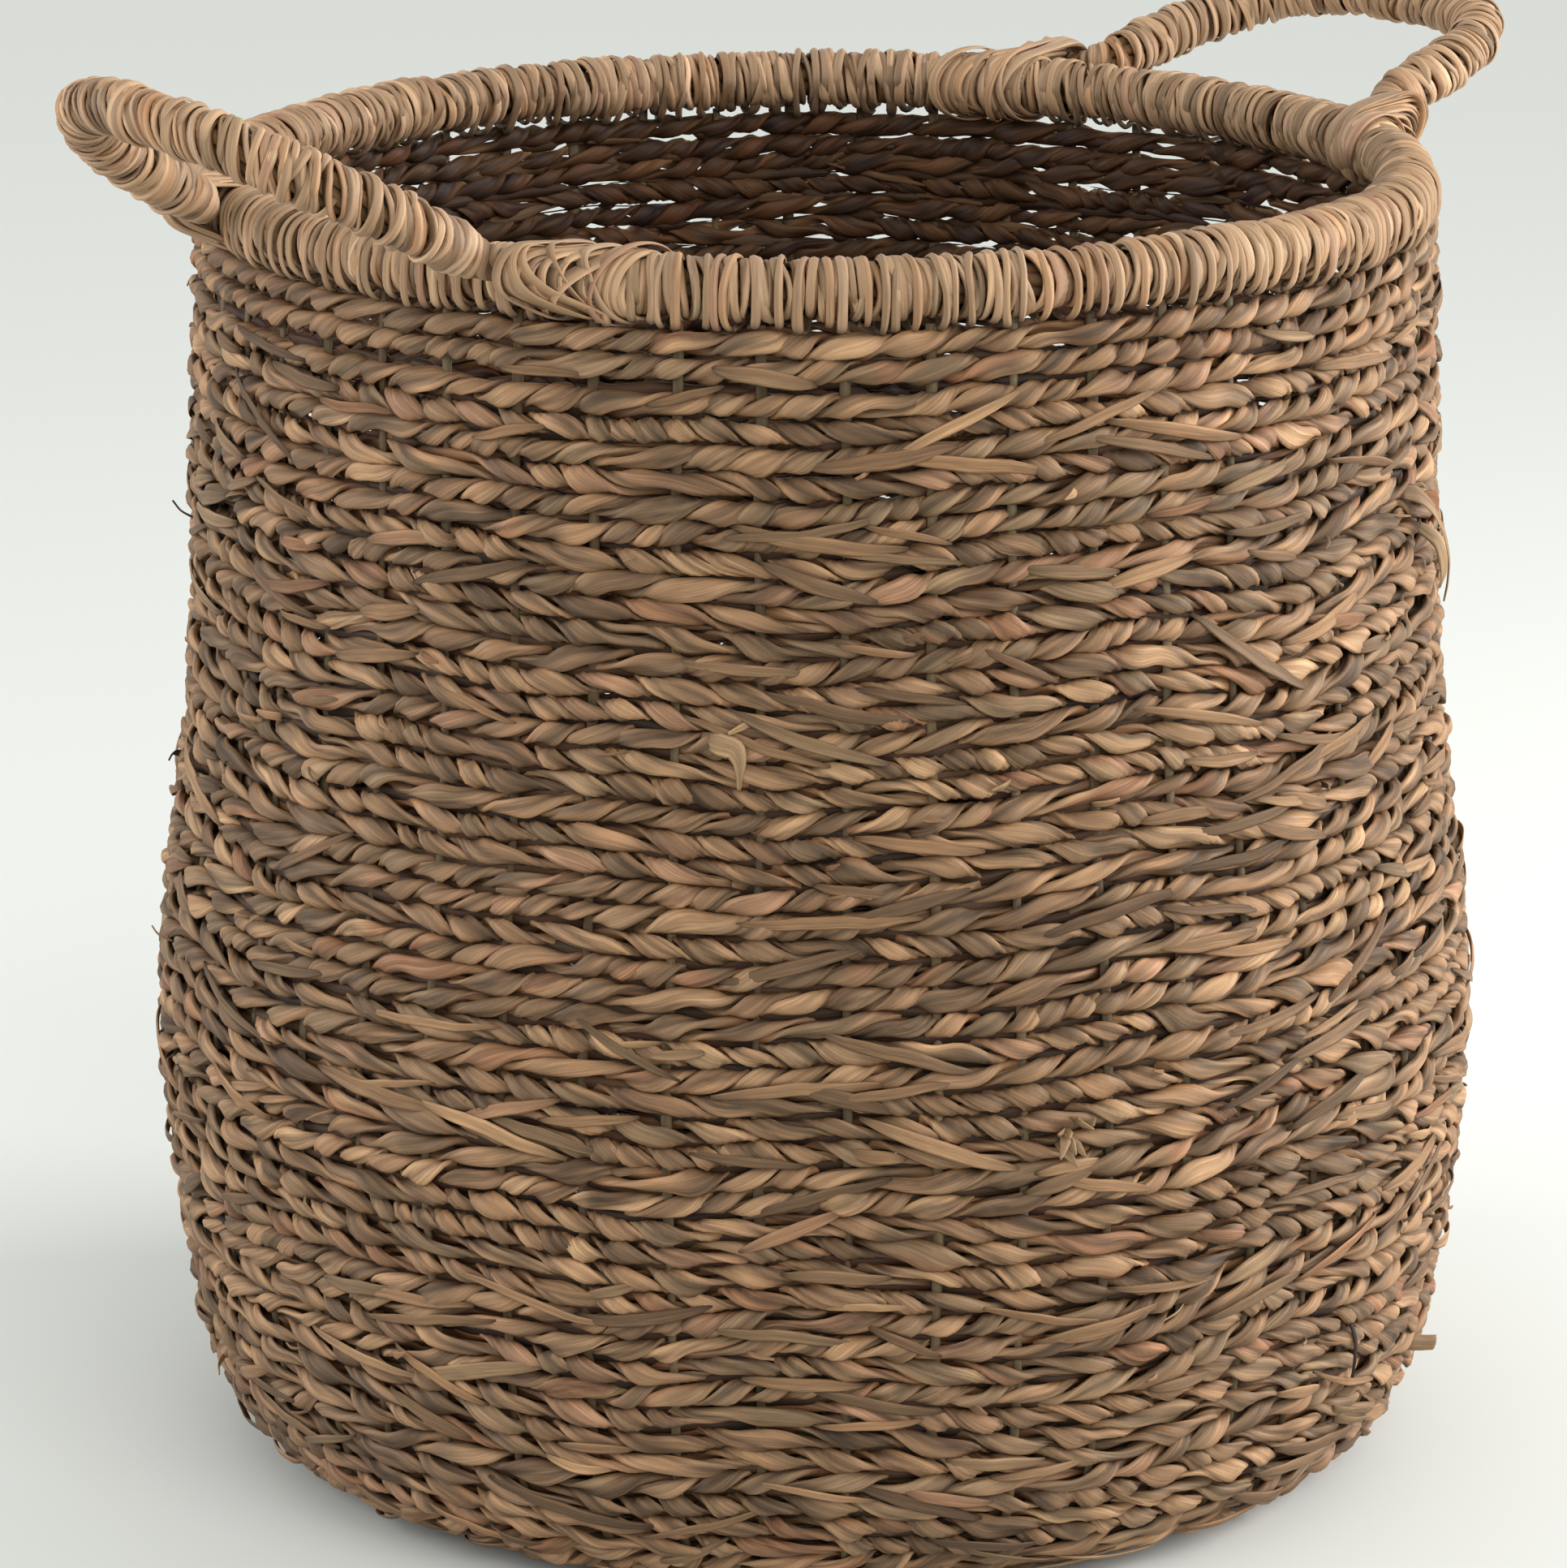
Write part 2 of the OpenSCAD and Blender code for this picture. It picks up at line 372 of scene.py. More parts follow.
# ---------------------------------------------------------------- materials
def grass_material(name, rough, fine, bump, spread, spec=0.25):
    m = bpy.data.materials.new(name)
    m.use_nodes = True
    nt = m.node_tree
    p = nt.nodes["Principled BSDF"]
    at_ = nt.nodes.new("ShaderNodeAttribute")
    at_.attribute_name = "strand"
    tone = nt.nodes.new("ShaderNodeAttribute")
    tone.attribute_name = "tone"
    sep = nt.nodes.new("ShaderNodeSeparateXYZ")
    nt.links.new(at_.outputs["Vector"], sep.inputs[0])

    def math_(op, a, b=None):
        n = nt.nodes.new("ShaderNodeMath")
        n.operation = op
        for i, x in enumerate((a, b)):
            if x is None:
                continue
            if isinstance(x, (int, float)):
                n.inputs[i].default_value = x
            else:
                nt.links.new(x, n.inputs[i])
        return n.outputs[0]

    def vec(x, y, z):
        n = nt.nodes.new("ShaderNodeCombineXYZ")
        for i, s in enumerate((x, y, z)):
            nt.links.new(s, n.inputs[i])
        return n.outputs[0]

    # the way round is read as a circle, so that no seam shows
    ang = math_("MULTIPLY", sep.outputs[1], TAU)
    cx, sx = math_("COSINE", ang), math_("SINE", ang)

    def fibres(across, along, detail):
        v = vec(math_("MULTIPLY", cx, across), math_("MULTIPLY", sx, across),
                math_("ADD", math_("MULTIPLY", sep.outputs[0], along), math_("MULTIPLY", sep.outputs[2], 13.7)))
        t = nt.nodes.new("ShaderNodeTexNoise")
        t.inputs["Scale"].default_value = 1.0
        t.inputs["Detail"].default_value = detail
        t.inputs["Roughness"].default_value = 0.6
        nt.links.new(v, t.inputs["Vector"])
        return t.outputs["Fac"]

    f1 = fibres(fine, 0.05, 2.0)
    f2 = fibres(fine * 0.35, 0.12, 1.0)
    mixv = math_("ADD", math_("MULTIPLY", f1, 0.6), math_("MULTIPLY", f2, 0.4))
    ramp = nt.nodes.new("ShaderNodeMapRange")
    ramp.inputs["From Min"].default_value = 0.32
    ramp.inputs["From Max"].default_value = 0.68
    ramp.inputs["To Min"].default_value = 1 - spread
    ramp.inputs["To Max"].default_value = 1 + spread * 0.75
    nt.links.new(mixv, ramp.inputs["Value"])
    mul = nt.nodes.new("ShaderNodeVectorMath")
    mul.operation = "SCALE"
    nt.links.new(tone.outputs["Color"], mul.inputs[0])
    nt.links.new(ramp.outputs["Result"], mul.inputs["Scale"])
    nt.links.new(mul.outputs["Vector"], p.inputs["Base Color"])
    b = nt.nodes.new("ShaderNodeBump")
    b.inputs["Strength"].default_value = bump
    b.inputs["Distance"].default_value = 0.0004
    nt.links.new(mixv, b.inputs["Height"])
    nt.links.new(b.outputs["Normal"], p.inputs["Normal"])
    p.inputs["Roughness"].default_value = rough
    p.inputs["Specular IOR Level"].default_value = spec
    return m


M_WEAVE = grass_material("seagrass_strand", 0.62, 5.0, 0.8, 0.42, 0.28)
M_LEAF = grass_material("leaf_strip", 0.55, 5.5, 0.7, 0.30, 0.30)
M_STAKE = grass_material("stake_stem", 0.7, 4.0, 0.5, 0.30, 0.2)
M_CORE = grass_material("core_bundle", 0.7, 6.0, 0.5, 0.30, 0.2)


# ---------------------------------------------------------------- the twined weave
PITCH = 7.3
A_N, A_T = 2.6, 1.66
BACK_TOP = math.radians(46)


def course(b, s0, key, n_twist, steps, m, amp=1.0, size=1.0, spiral=True, phase=0.0):
    """One twined course: two strands that turn round each other once per stake spacing."""
    g = rng(2, key)
    n = n_twist * steps
    th = np.arange(n) / n * TAU
    direction = 1 if g.random() < 0.6 else -1
    calm = 0.35 + 0.65 * smooth(140, 200, s0)
    s_line = s0 + 0.2 * ring_noise(th, g, 3, 16, 0.7) + 0.45 * calm * ring_noise(th, g, 17, 60, 0.1)
    if spiral:
        s_line = s_line + PITCH * 0.4 * np.cos(th)
    s_line = s_line + row_shift(th, s0 + 0 * th)
    r, z, nr, nz, tr, tz = at(np.clip(s_line, 2, S_TOP - 1.4))
    wob = body_wobble(th, s_line) + 0.75 * calm * ring_noise(th, g, 8, 44, 0.2)
    # the turning hurries and lags, so the turns are not all the same length
    slip = 0.75 * ring_noise(th, g, 3, 20, 0.4) + 0.34 * ring_noise(th, g, 21, 60, 0.0)
    if n_twist == 48:
        # from stake to stake the pair turns half round, once round or, now and then, once and a half
        m_j = g.choice([1, 2, 3], size=48, p=[0.58, 0.39, 0.03] if s0 < S_TOP - 62 else [0.34, 0.58, 0.08])
        while m_j.sum() % 2:
            q = int(g.integers(48))
            m_j[q] = 2 if m_j[q] == 1 else 1
        knots = np.concatenate([[0], np.cumsum(m_j)]) * math.pi
        x = (th / TAU * 48 - 0.5) % 48
        q = np.floor(x).astype(int)
        turned = knots[q] + (knots[q + 1] - knots[q]) * (x - q) + np.where(th / TAU * 48 < 0.5, -knots[-1], 0)
        # ease the change of pace at the stakes
        w_ = np.hanning(9)
        w_ /= w_.sum()
        lin_part = knots[-1] * th / TAU
        resid = turned - lin_part
        resid = np.convolve(np.concatenate([resid[-4:], resid, resid[:4]]), w_, mode="valid")
        psi0 = direction * (lin_part + resid) + slip
    else:
        psi0 = direction * (n_twist * th - phase) + slip
    an = A_N * amp * (1 + 0.10 * ring_noise(th, g, 8, 40, 0.2))
    at_amp = A_T * amp * (1 + 0.25 * ring_noise(th, g, 8, 48, 0.1))
    er = np.stack([np.cos(th), np.sin(th), np.zeros(n)], 1)
    ez = np.array([0, 0, 1.0])
    N = er * nr[:, None] + ez * nz[:, None]
    T = er * tr[:, None] + ez * tz[:, None]
    mid = er * (r + wob * nr)[:, None] + ez * (z + wob * nz)[:, None]
    circ = TAU * r.mean()
    along = th / TAU * circ
    # the weave is looser high up on one side
    loose = np.clip(np.cos(th - BACK_TOP) * 1.6, 0, 1) * smooth(300, 345, z)
    for k in range(2):
        gs = rng(3, key, k)
        psi = psi0 + math.pi * k
        C = mid + N * (an * np.cos(psi))[:, None] + T * (at_amp * np.sin(psi))[:, None]
        # the strand's broad side lies across the direction to the other strand
        out = N * np.cos(psi)[:, None] + T * (0.5 * np.sin(psi))[:, None]
        Tn = (np.roll(C, -1, 0) - np.roll(C, 1, 0))
        Tn /= np.linalg.norm(Tn, axis=1)[:, None]
        A = out - Tn * (out * Tn).sum(1)[:, None]
        A /= np.linalg.norm(A, axis=1)[:, None]
        Bv = np.cross(Tn, A)
        swell = 1 + 0.17 * ring_noise(th, gs, 6, 40, 0.2) + 0.10 * ring_noise(th, gs, 41, 96, 0.1)
        swell = np.clip(swell, 0.74, 1.3) * (1 - 0.03 * loose)
        ra = 1.68 * size * swell * (1 + 0.04 * np.cos(2 * psi))
        rb = 2.96 * size * swell * (1 + 0.15 * np.cos(2 * psi))
        X, Y, crease = strand_section(m, along, gs, ra, rb, 0.27, 0.11, 0.06, 3, 0.40)
        # close the section smoothly where the ring meets itself
        w = smooth(0, 20, along[-1] - along)[:, None]
        X = X * w + X[0][None] * (1 - w)
        Y = Y * w + Y[0][None] * (1 - w)
        P = C[:, None] + A[:, None] * X[..., None] + Bv[:, None] * Y[..., None]
        P[..., 2] = np.maximum(P[..., 2], 0.05)
        colour = runs(circ, gs, 28, 150, STRAW, STRAW_W, 4.0)
        base = colour(along)
        second = runs(circ, gs, 28, 150, STRAW, STRAW_W, 4.0)(along)
        al = np.arange(m) / m * TAU
        half = 0.5 + 0.5 * np.tanh(3 * np.cos(al[None] + 0.05 * along[:, None] + gs.uniform(0, TAU)))
        col = base[:, None] * half[..., None] + second[:, None] * (1 - half[..., None])
        shade = np.clip(1 + 0.20 * ring_noise(th, gs, 10, 70, 0.1), 0.6, 1.45)
        # painted shade in the creases of the folded leaves
        col = col * shade[:, None, None] * (1 - 0.55 * crease[..., None])
        # painted shade: darker away from the outer face, and down between the courses, and redder on the inward side
        rel = P - mid[:, None]
        d = (rel * N[:, None]).sum(-1) / (THICK / 2)
        t = np.abs((rel * T[:, None]).sum(-1)) / (PITCH / 2)
        tone = (0.23 + 0.77 * smooth(-0.5, 0.45, d)) * (1 - 0.40 * smooth(0.72, 1.15, t))
        inner = smooth(0.3, -0.5, d)
        warm = 1 + inner[..., None] * np.array([0.12, 0.02, 0.0])
        # painted shade tint, redder where the painted shade is deep
        col = painted_shade_tint(col * tone[..., None] * warm, tone)
        b.sweep(P, np.clip(col, 0.006, 0.9), along, key * 2 + k, closed=True)


M_AROUND = 12
S_FIRST = 31.0
n_courses = int(round((S_TOP - 3.0 - S_FIRST) / PITCH))
PITCH = (S_TOP - 3.0 - S_FIRST) / n_courses
S_FLAT = float(np.interp(150 * K - 1, PR[PZ < 8], PS[PZ < 8]))
S_78 = float(np.interp(78, PR[PZ < 8], PS[PZ < 8]))
bands, base_parts, base_count = [], [Build()], 0
current, count = Build(), 0
centre_b = Build()
for i in range(3):
    course(centre_b, 8.5 + i * 7.6, 900 + i, (4, 8, 12)[i], 12, M_AROUND, 0.9, 0.95, spiral=False)
for i in range(n_courses + 1):
    s0 = S_FIRST + i * PITCH
    if s0 < S_FLAT:
        inner_part = s0 < S_78
        if base_count == 6:
            base_parts.append(Build())
            base_count = 0
        base_count += 1
        course(base_parts[-1], s0, 100 + i, 24 if inner_part else 48, 12, M_AROUND, spiral=False, phase=math.pi / 2 if inner_part else 0.0)
    else:
        top = s0 > S_TOP - 1.9 * PITCH
        course(current, s0, 100 + i, 48, 12, M_AROUND, spiral=not top)
        count += 1
        if count == 7:
            bands.append(current)
            current, count = Build(), 0
if count:
    bands.append(current)
centre_b.make("base_centre_weave", "basket", ["base_centre"], "seagrass_weave", M_WEAVE)
for i, b in enumerate(base_parts):
    b.make(f"base_twined_weave_{i + 1}", "basket", ["base_weave_under", "base_weave_upper"], "seagrass_weave", M_WEAVE)
for i, b in enumerate(bands):
    b.make(f"wall_twined_weave_{i + 1}", "basket", ["wall_weave_outer", "wall_weave_inner"], "seagrass_weave", M_WEAVE)


# the inner leaves of the strands in the gaps between one course and the next, painted very dark as painted shade of the
# gaps
def course_line(key, s0, th):
    g = rng(2, key)
    g.random()
    calm = 0.35 + 0.65 * smooth(140, 200, s0)
    return (s0 + 0.2 * ring_noise(th, g, 3, 16, 0.7) + 0.45 * calm * ring_noise(th, g, 17, 60, 0.1)
            + PITCH * 0.4 * np.cos(th) + row_shift(th, s0 + 0 * th))


gap_parts = [Build(), Build(), Build()]
gap_rows = [i for i in range(n_courses) if S_FIRST + i * PITCH >= S_FLAT]
for q, i in enumerate(gap_rows):
    g = rng(34, i)
    n = 576
    th = np.arange(n) / n * TAU
    s0 = S_FIRST + i * PITCH
    s = 0.5 * (course_line(100 + i, s0, th) + course_line(101 + i, s0 + PITCH, th))
    s = np.clip(s + 0.35 * ring_noise(th, g, 12, 60, 0.2), 20, S_TOP - 2.5)
    r, z, nr, nz, tr, tz = at(s)
    wob = body_wobble(th, s) - 1.0 + 0.7 * ring_noise(th, g, 10, 50, 0.2)
    er = np.stack([np.cos(th), np.sin(th), np.zeros(n)], 1)
    ez = np.array([0, 0, 1.0])
    N = er * nr[:, None] + ez * nz[:, None]
    T = er * tr[:, None] + ez * tz[:, None]
    C = er * r[:, None] + ez * z[:, None] + N * wob[:, None]
    full = 1 + 0.18 * ring_noise(th, g, 20, 90, 0.1)
    # open here and there, more so near the rim
    upper = s0 > S_TOP - 90
    for _ in range(int(g.integers(60, 78)) if upper else int(g.integers(2, 6))):
        c0, half = g.uniform(0, TAU), g.uniform(3.5, 8.5) / 180
        away = np.abs((th - c0 + math.pi) % TAU - math.pi)
        full = full * (0.12 + 0.88 * smooth(half, half + 0.012, away))
    al = np.arange(6) / 6 * TAU
    P = C[:, None] + N[:, None] * (1.1 * full[:, None] * np.cos(al)[None])[..., None] + T[:, None] * (2.1 * full[:, None] * np.sin(al)[None])[..., None]
    P[..., 2] = np.maximum(P[..., 2], 0.05)
    along = th * 185
    base = runs(TAU * 185, g, 25, 110, STRAW, STRAW_W, 5.0)(along)
    # painted shade: the gap leaves are painted at 0.15 of the leaf colour, warmer
    col = np.broadcast_to((base * 0.15 * np.array([1.10, 0.84, 0.60]))[:, None], (n, 6, 3))
    gap_parts[min(q * 3 // len(gap_rows), 2)].sweep(P, np.clip(col, 0.004, 0.9), along, 3300 + i, closed=True)
for i, b in enumerate(gap_parts):
    b.make(f"wall_inner_leaves_{i + 1}", "basket", ["wall_weave_inner"], "seagrass_weave", M_WEAVE)


# ---------------------------------------------------------------- single leaves
def ribbon(b, C, N, half_w, half_t, col, seed, fold=0.0, m=8, roll=0.0):
    """A flat leaf along the points C, its face towards N."""
    C, N = np.asarray(C, float), np.asarray(N, float)
    n = len(C)
    T = np.gradient(C, axis=0)
    T /= np.linalg.norm(T, axis=1)[:, None] + 1e-12
    N = N - T * (N * T).sum(1)[:, None]
    N /= np.linalg.norm(N, axis=1)[:, None] + 1e-12
    W = np.cross(T, N)
    roll = np.broadcast_to(np.asarray(roll, float), (n,))
    W, N = W * np.cos(roll)[:, None] + N * np.sin(roll)[:, None], N * np.cos(roll)[:, None] - W * np.sin(roll)[:, None]
    half_w = np.broadcast_to(np.asarray(half_w, float), (n,))
    half_t = np.broadcast_to(np.asarray(half_t, float), (n,))
    al = np.arange(m) / m * TAU
    X = half_t[:, None] * np.cos(al)[None] - fold * half_w[:, None] * np.abs(np.sin(al))[None]
    Y = half_w[:, None] * np.sin(al)[None]
    P = C[:, None] + N[:, None] * X[..., None] + W[:, None] * Y[..., None]
    P[..., 2] = np.maximum(P[..., 2], 0.05)
    along = np.concatenate([[0], np.cumsum(np.linalg.norm(np.diff(C, axis=0), axis=1))])
    if col.ndim == 1:
        col = np.broadcast_to(col, (n, m, 3))
    elif col.ndim == 2:
        col = np.broadcast_to(col[:, None], (n, m, 3))
    # painted highlight: the edges of the leaf are painted lighter than its broad faces
    shade = 0.80 + 0.24 * np.abs(np.sin(al))[None, :, None]
    b.sweep(P, np.clip(col * shade, 0.006, 0.92), along, seed)


def wall_frame(th, s, up):
    """Points up mm outside the middle surface of the wall, with the outward and upward directions."""
    r, z, nr, nz, tr, tz = at(s)
    er = np.stack([np.cos(th), np.sin(th), np.zeros(len(th))], 1)
    ez = np.array([0, 0, 1.0])
    N = er * nr[:, None] + ez * nz[:, None]
    T = er * tr[:, None] + ez * tz[:, None]
    wob = body_wobble(th, s)
    return er * r[:, None] + ez * z[:, None] + N * (up + wob)[:, None], N, T


leaf_b, leaf_b2 = Build(), Build()
for i in range(560):
    g = rng(31, i)
    inside = g.random() < 0.22
    th0, s0 = g.uniform(0, TAU), g.uniform(165, S_TOP - 9)
    length = g.uniform(16, 46) if i < 300 else g.uniform(20, 52)
    slope = g.normal() * 0.16 + (0.22 if g.random() < 0.5 else -0.22)
    if i >= 300:
        slope = slope * 0.8
    u = np.linspace(0, 1, 15)
    r0 = float(np.interp(s0, PS, PR))
    th = th0 + (u - 0.5) * length / r0
    s = s0 + slope * (u - 0.5) * length + 0.7 * line_noise(u * length, g, 12)
    s = np.clip(s + row_shift(th, s0 + 0 * th), 20, S_TOP - 4)
    top = g.uniform(4.7, 5.5)
    up = 2.6 + (top - 2.6) * np.sin(np.pi * u) ** 0.55 + 0.35 * line_noise(u * length, g, 8)
    if inside:
        up = -up
    C, N, T = wall_frame(th, s, up)
    if inside:
        N = -N
    hw = g.uniform(1.2, 2.6) * np.clip(np.sin(np.pi * np.clip(u, 0.02, 0.98)), 0, 1) ** 0.45
    col = pick(g, STRAW, STRAW_W) * g.uniform(0.85, 1.18)
    # painted shade: darker towards both ends, where the leaf tucks into the weave, and much darker for the leaves lying
    # inside the basket
    col = np.broadcast_to(col, (15, 3)) * (0.40 + 0.60 * np.sin(np.pi * u) ** 0.5)[:, None] * (0.28 if inside else 1.0)
    ribbon(leaf_b if i < 300 else leaf_b2, C, N, hw, g.uniform(0.28, 0.5), col, (5000 if i < 300 else 10400) + i, fold=g.uniform(-0.05, 0.22), roll=g.normal() * 0.18)


# strands that have slipped into the gaps between the upper courses
for i in range(190):
    g = rng(33, i)
    th0 = g.uniform(0, TAU)
    row = int(g.integers(1, 13))
    s0 = S_FIRST + (n_courses - row + 0.5) * PITCH
    length = g.uniform(14, 34)
    u = np.linspace(0, 1, 13)
    th = th0 + (u - 0.5) * length / 180
    s = s0 + g.normal() * 0.5 + g.normal() * 0.09 * (u - 0.5) * length + PITCH * 0.4 * np.cos(th) + 0.5 * line_noise(u * length, g, 10)
    s = np.clip(s + row_shift(th, s0 + 0 * th), 20, S_TOP - 3)
    up = g.uniform(-3.4, 1.2) + 0.6 * line_noise(u * length, g, 10)
    C, N, T = wall_frame(th, s, up)
    hw = g.uniform(1.1, 2.0) * np.clip(np.sin(np.pi * np.clip(u, 0.02, 0.98)), 0, 1) ** 0.4
    # painted shade: these strands are painted dark and warm, as they lie in the shade of the gaps
    col = np.broadcast_to(pick(g, STRAW, STRAW_W) * g.uniform(0.28, 0.46), (13, 3)) * np.array([1.08, 0.9, 0.7])
    ribbon(leaf_b, C, N, hw, g.uniform(0.6, 1.0), col, 5400 + i, fold=g.uniform(0, 0.3), roll=g.normal() * 0.3)


def loose_end(theta_deg, z, pts, half_w, tone, seed, half_t=0.3, fold=0.1, roll=0.0):
    """A leaf end that stands off the wall. pts: (along the wall, up, outward) in mm from the wall's surface."""
    th = math.radians(theta_deg)
    s = float(np.interp(z, PZ, PS))
    r, zz, nr, nz, tr, tz = [float(v) for v in at(s)]
    er = np.array([math.cos(th), math.sin(th), 0])
    et = np.array([-math.sin(th), math.cos(th), 0])
    ez = np.array([0, 0, 1.0])
    N = er * nr + ez * nz
    T = er * tr + ez * tz
    p = np.array(pts, float)
    q = np.linspace(0, len(p) - 1, 5 * (len(p) - 1) + 1)
    p = np.stack([np.interp(q, np.arange(len(p)), p[:, i]) for i in range(3)], 1)
    for _ in range(3):
        p[1:-1] = p[1:-1] * 0.5 + (p[:-2] + p[2:]) * 0.25
    O = er * r + ez * zz + N * 4.4
    C = O + p[:, :1] * et + p[:, 1:2] * T + p[:, 2:] * N
    n = len(C)
    u = np.linspace(0, 1, n)
    hw = np.interp(u, np.linspace(0, 1, len(half_w)), half_w)
    tan = np.gradient(p, axis=0)
    tan /= np.linalg.norm(tan, axis=1)[:, None] + 1e-9
    flat = np.array([0, 0, 1.0]) - tan * tan[:, 2:]
    flat = flat / (np.linalg.norm(flat, axis=1)[:, None] + 1e-6)
    Nn = flat[:, :1] * et + flat[:, 1:2] * T + flat[:, 2:] * N
    # painted shade: darker at the root, where the end goes into the wall
    col = np.broadcast_to(np.asarray(tone, float), (n, 3)) * (0.6 + 0.4 * smooth(0, 0.3, u))[:, None]
    ribbon(leaf_b, C, Nn, hw, half_t, col, seed, fold=fold, roll=roll)


TAN, DARK, RED, PALE = lin([136, 108, 78]), lin([52, 36, 27]), lin([128, 78, 46]), lin([156, 126, 92])
# the curled leaf, the bent leaf, the frayed tuft, the cut end, the dark spine and the spikes low down
loose_end(-64.6, 305, [(-3, 2, -2.5), (1, 1, 1.5), (5, -4, 5), (9, -12, 7), (12, -21, 7.5), (13, -29, 6.5), (14, -34, 5)], [2.2, 3.2, 3.4, 3.2, 2.6, 1.8, 0.5], TAN, 6001, roll=0.3)
loose_end(-62.0, 300, [(-4, 3, -1), (1, 3, 2.5), (5, 1, 4.2), (8, -3, 3), (10, -6, 0)], [1.5, 2.3, 2.5, 2.0, 1.0], RED, 6002)
loose_end(-60.2, 292, [(-3, 2, -2), (2, -3, 3.4), (3, -9, 5), (5, -15, 4.5), (8, -19, 2.5)], [1.6, 2.4, 2.6, 1.7, 0.5], PALE, 6003, roll=-0.4)
loose_end(-141.3, 259, [(-8, 3, -2), (-3, 2.5, 1.6), (2, 1.5, 2.6), (3.4, -2.5, 2.2), (3.2, -7, 1.2), (3.0, -10.5, 0.2)], [2.2, 3.6, 3.4, 2.0, 0.9, 0.6], PALE, 6004, fold=0.18)
for k in range(9):
    g = rng(61, k)
    dx, dz = g.uniform(-5, 5), g.uniform(-8, 8)
    loose_end(-112.3 + g.uniform(-1.5, 1.5), 150 + g.uniform(-5, 5), [(0, 0, -2), (dx * 0.4, dz * 0.4, 1.6), (dx, dz, 3.2 + g.uniform(-1, 1.2))], [1.3, 1.6, 0.35], PALE * g.uniform(0.75, 1.0), 6010 + k, fold=0.25, roll=g.normal() * 0.5)
loose_end(-61.6, 43, [(-3, 0, -2), (1.5, 0, 3), (4.0, 0.3, 6.0)], [2.6, 2.7, 2.7], TAN, 6020, half_t=0.8)
loose_end(-79.0, 66, [(0, 0.5, -1), (0.4, -4, 1.4), (0.6, -11, 2.0), (1.0, -16.5, 1.6)], [0.8, 0.8, 0.65, 0.1], DARK, 6021, half_t=0.5)
loose_end(-77.9, 39, [(-4, 0, -1.5), (0, 0, 2.2), (6, 0.3, 4.4)], [1.2, 1.0, 0.15], TAN, 6022, half_t=0.45)
loose_end(-77.0, 35, [(-4, 0, -1.5), (1, -0.4, 2.6), (8, 0.2, 4.6)], [1.6, 1.2, 0.15], TAN, 6023, half_t=0.45)
loose_end(140.3, 287, [(0, 0, -1), (-2, 1.5, 3), (-3.5, 4.5, 5.5)], [0.5, 0.35, 0.1], DARK, 6024, half_t=0.3)
loose_end(139.3, 213, [(0, 0, -1), (1, 0.5, 2.2), (2, -2.0, 3.2)], [1.1, 0.9, 0.3], DARK, 6025)
loose_end(164.2, 277, [(0, 0, -1), (-4, 1.5, 2.5), (-11, 1.0, 5.5)], [0.35, 0.25, 0.1], TAN, 6026, half_t=0.2)
# short frayed ends all over
for k in range(150):
    g = rng(62, k)
    side = 1 if g.random() < 0.5 else -1
    length = g.uniform(4, 11)
    rise = g.uniform(-0.5, 0.5) * length
    lift_ = g.uniform(0.4, 2.2) + (1.4 if g.random() < 0.2 else 0)
    w_ = g.uniform(0.35, 1.3)
    loose_end(g.uniform(0, 360), g.uniform(30, 362), [(0, 0, -2.0), (side * length * 0.45, rise * 0.4, 0.6 + lift_ * 0.5), (side * length, rise, lift_)],
              [w_, w_, w_ * g.uniform(0.15, 0.7)], pick(g, STRAW, STRAW_W) * g.uniform(0.7, 1.3), 6100 + k, half_t=0.25, fold=g.uniform(0, 0.3), roll=g.normal() * 0.4)
leaf_b2.make("wall_flat_leaves_2", "basket", ["wall_weave_outer", "wall_weave_inner"], "seagrass_weave", M_WEAVE)
leaf_b.make("wall_flat_leaves_1", "basket", ["wall_weave_outer", "wall_weave_inner"], "seagrass_weave", M_WEAVE)


# ---------------------------------------------------------------- stakes
def stakes(name, node, first, s_in):
    b = Build()
    for i in range(24):
        g = rng(4, first, i)
        th0 = (2 * i + first + 0.5) * TAU / 48
        s = np.arange(s_in, S_TOP + 3.4, 4.0)
        sc = np.minimum(s, S_TOP)
        r, z, nr, nz, tr, tz = at(sc)
        z = z + np.maximum(0, s - S_TOP)
        n = len(s)
        side = 0.7 * line_noise(s, g, 40)
        th = th0 + side / np.maximum(r, 20)
        er = np.stack([np.cos(th), np.sin(th), np.zeros(n)], 1)
        et = np.stack([-np.sin(th), np.cos(th), np.zeros(n)], 1)
        ez = np.array([0, 0, 1.0])
        wob = body_wobble(th, s)
        N = er * nr[:, None] + ez * nz[:, None]
        C = er * (r + wob * nr)[:, None] + ez * (z + wob * nz)[:, None]
        w = 1.6 * (1 + 0.2 * line_noise(s, g, 30)) * np.clip(r / 60, 0.55, 1)
        t = 0.95 * (1 + 0.15 * line_noise(s, g, 20))
        X, Y, crease = strand_section(8, s, g, t, w, 0.18, 0.08, 0.0)
        P = C[:, None] + N[:, None] * X[..., None] + et[:, None] * Y[..., None]
        col = np.broadcast_to(pick(g, STAKE), (n, 8, 3)) * (1 + 0.15 * line_noise(s, g, 25))[:, None, None]
        # painted shade: the stakes are painted dark and warm, as they show only in the shade of the gaps, and darker in
        # their creases
        col = col * np.array([0.42, 0.36, 0.29]) * (1 - 0.3 * crease[..., None])
        b.sweep(P, np.clip(col, 0.01, 0.9), s, 3000 + first * 50 + i)
    return b.make(name, "basket", [node], "stake", M_STAKE)


stakes("long_stake_stems", "long_stakes", 0, 12.0)
stakes("short_stake_stems", "short_stakes", 1, S_78 + 1)


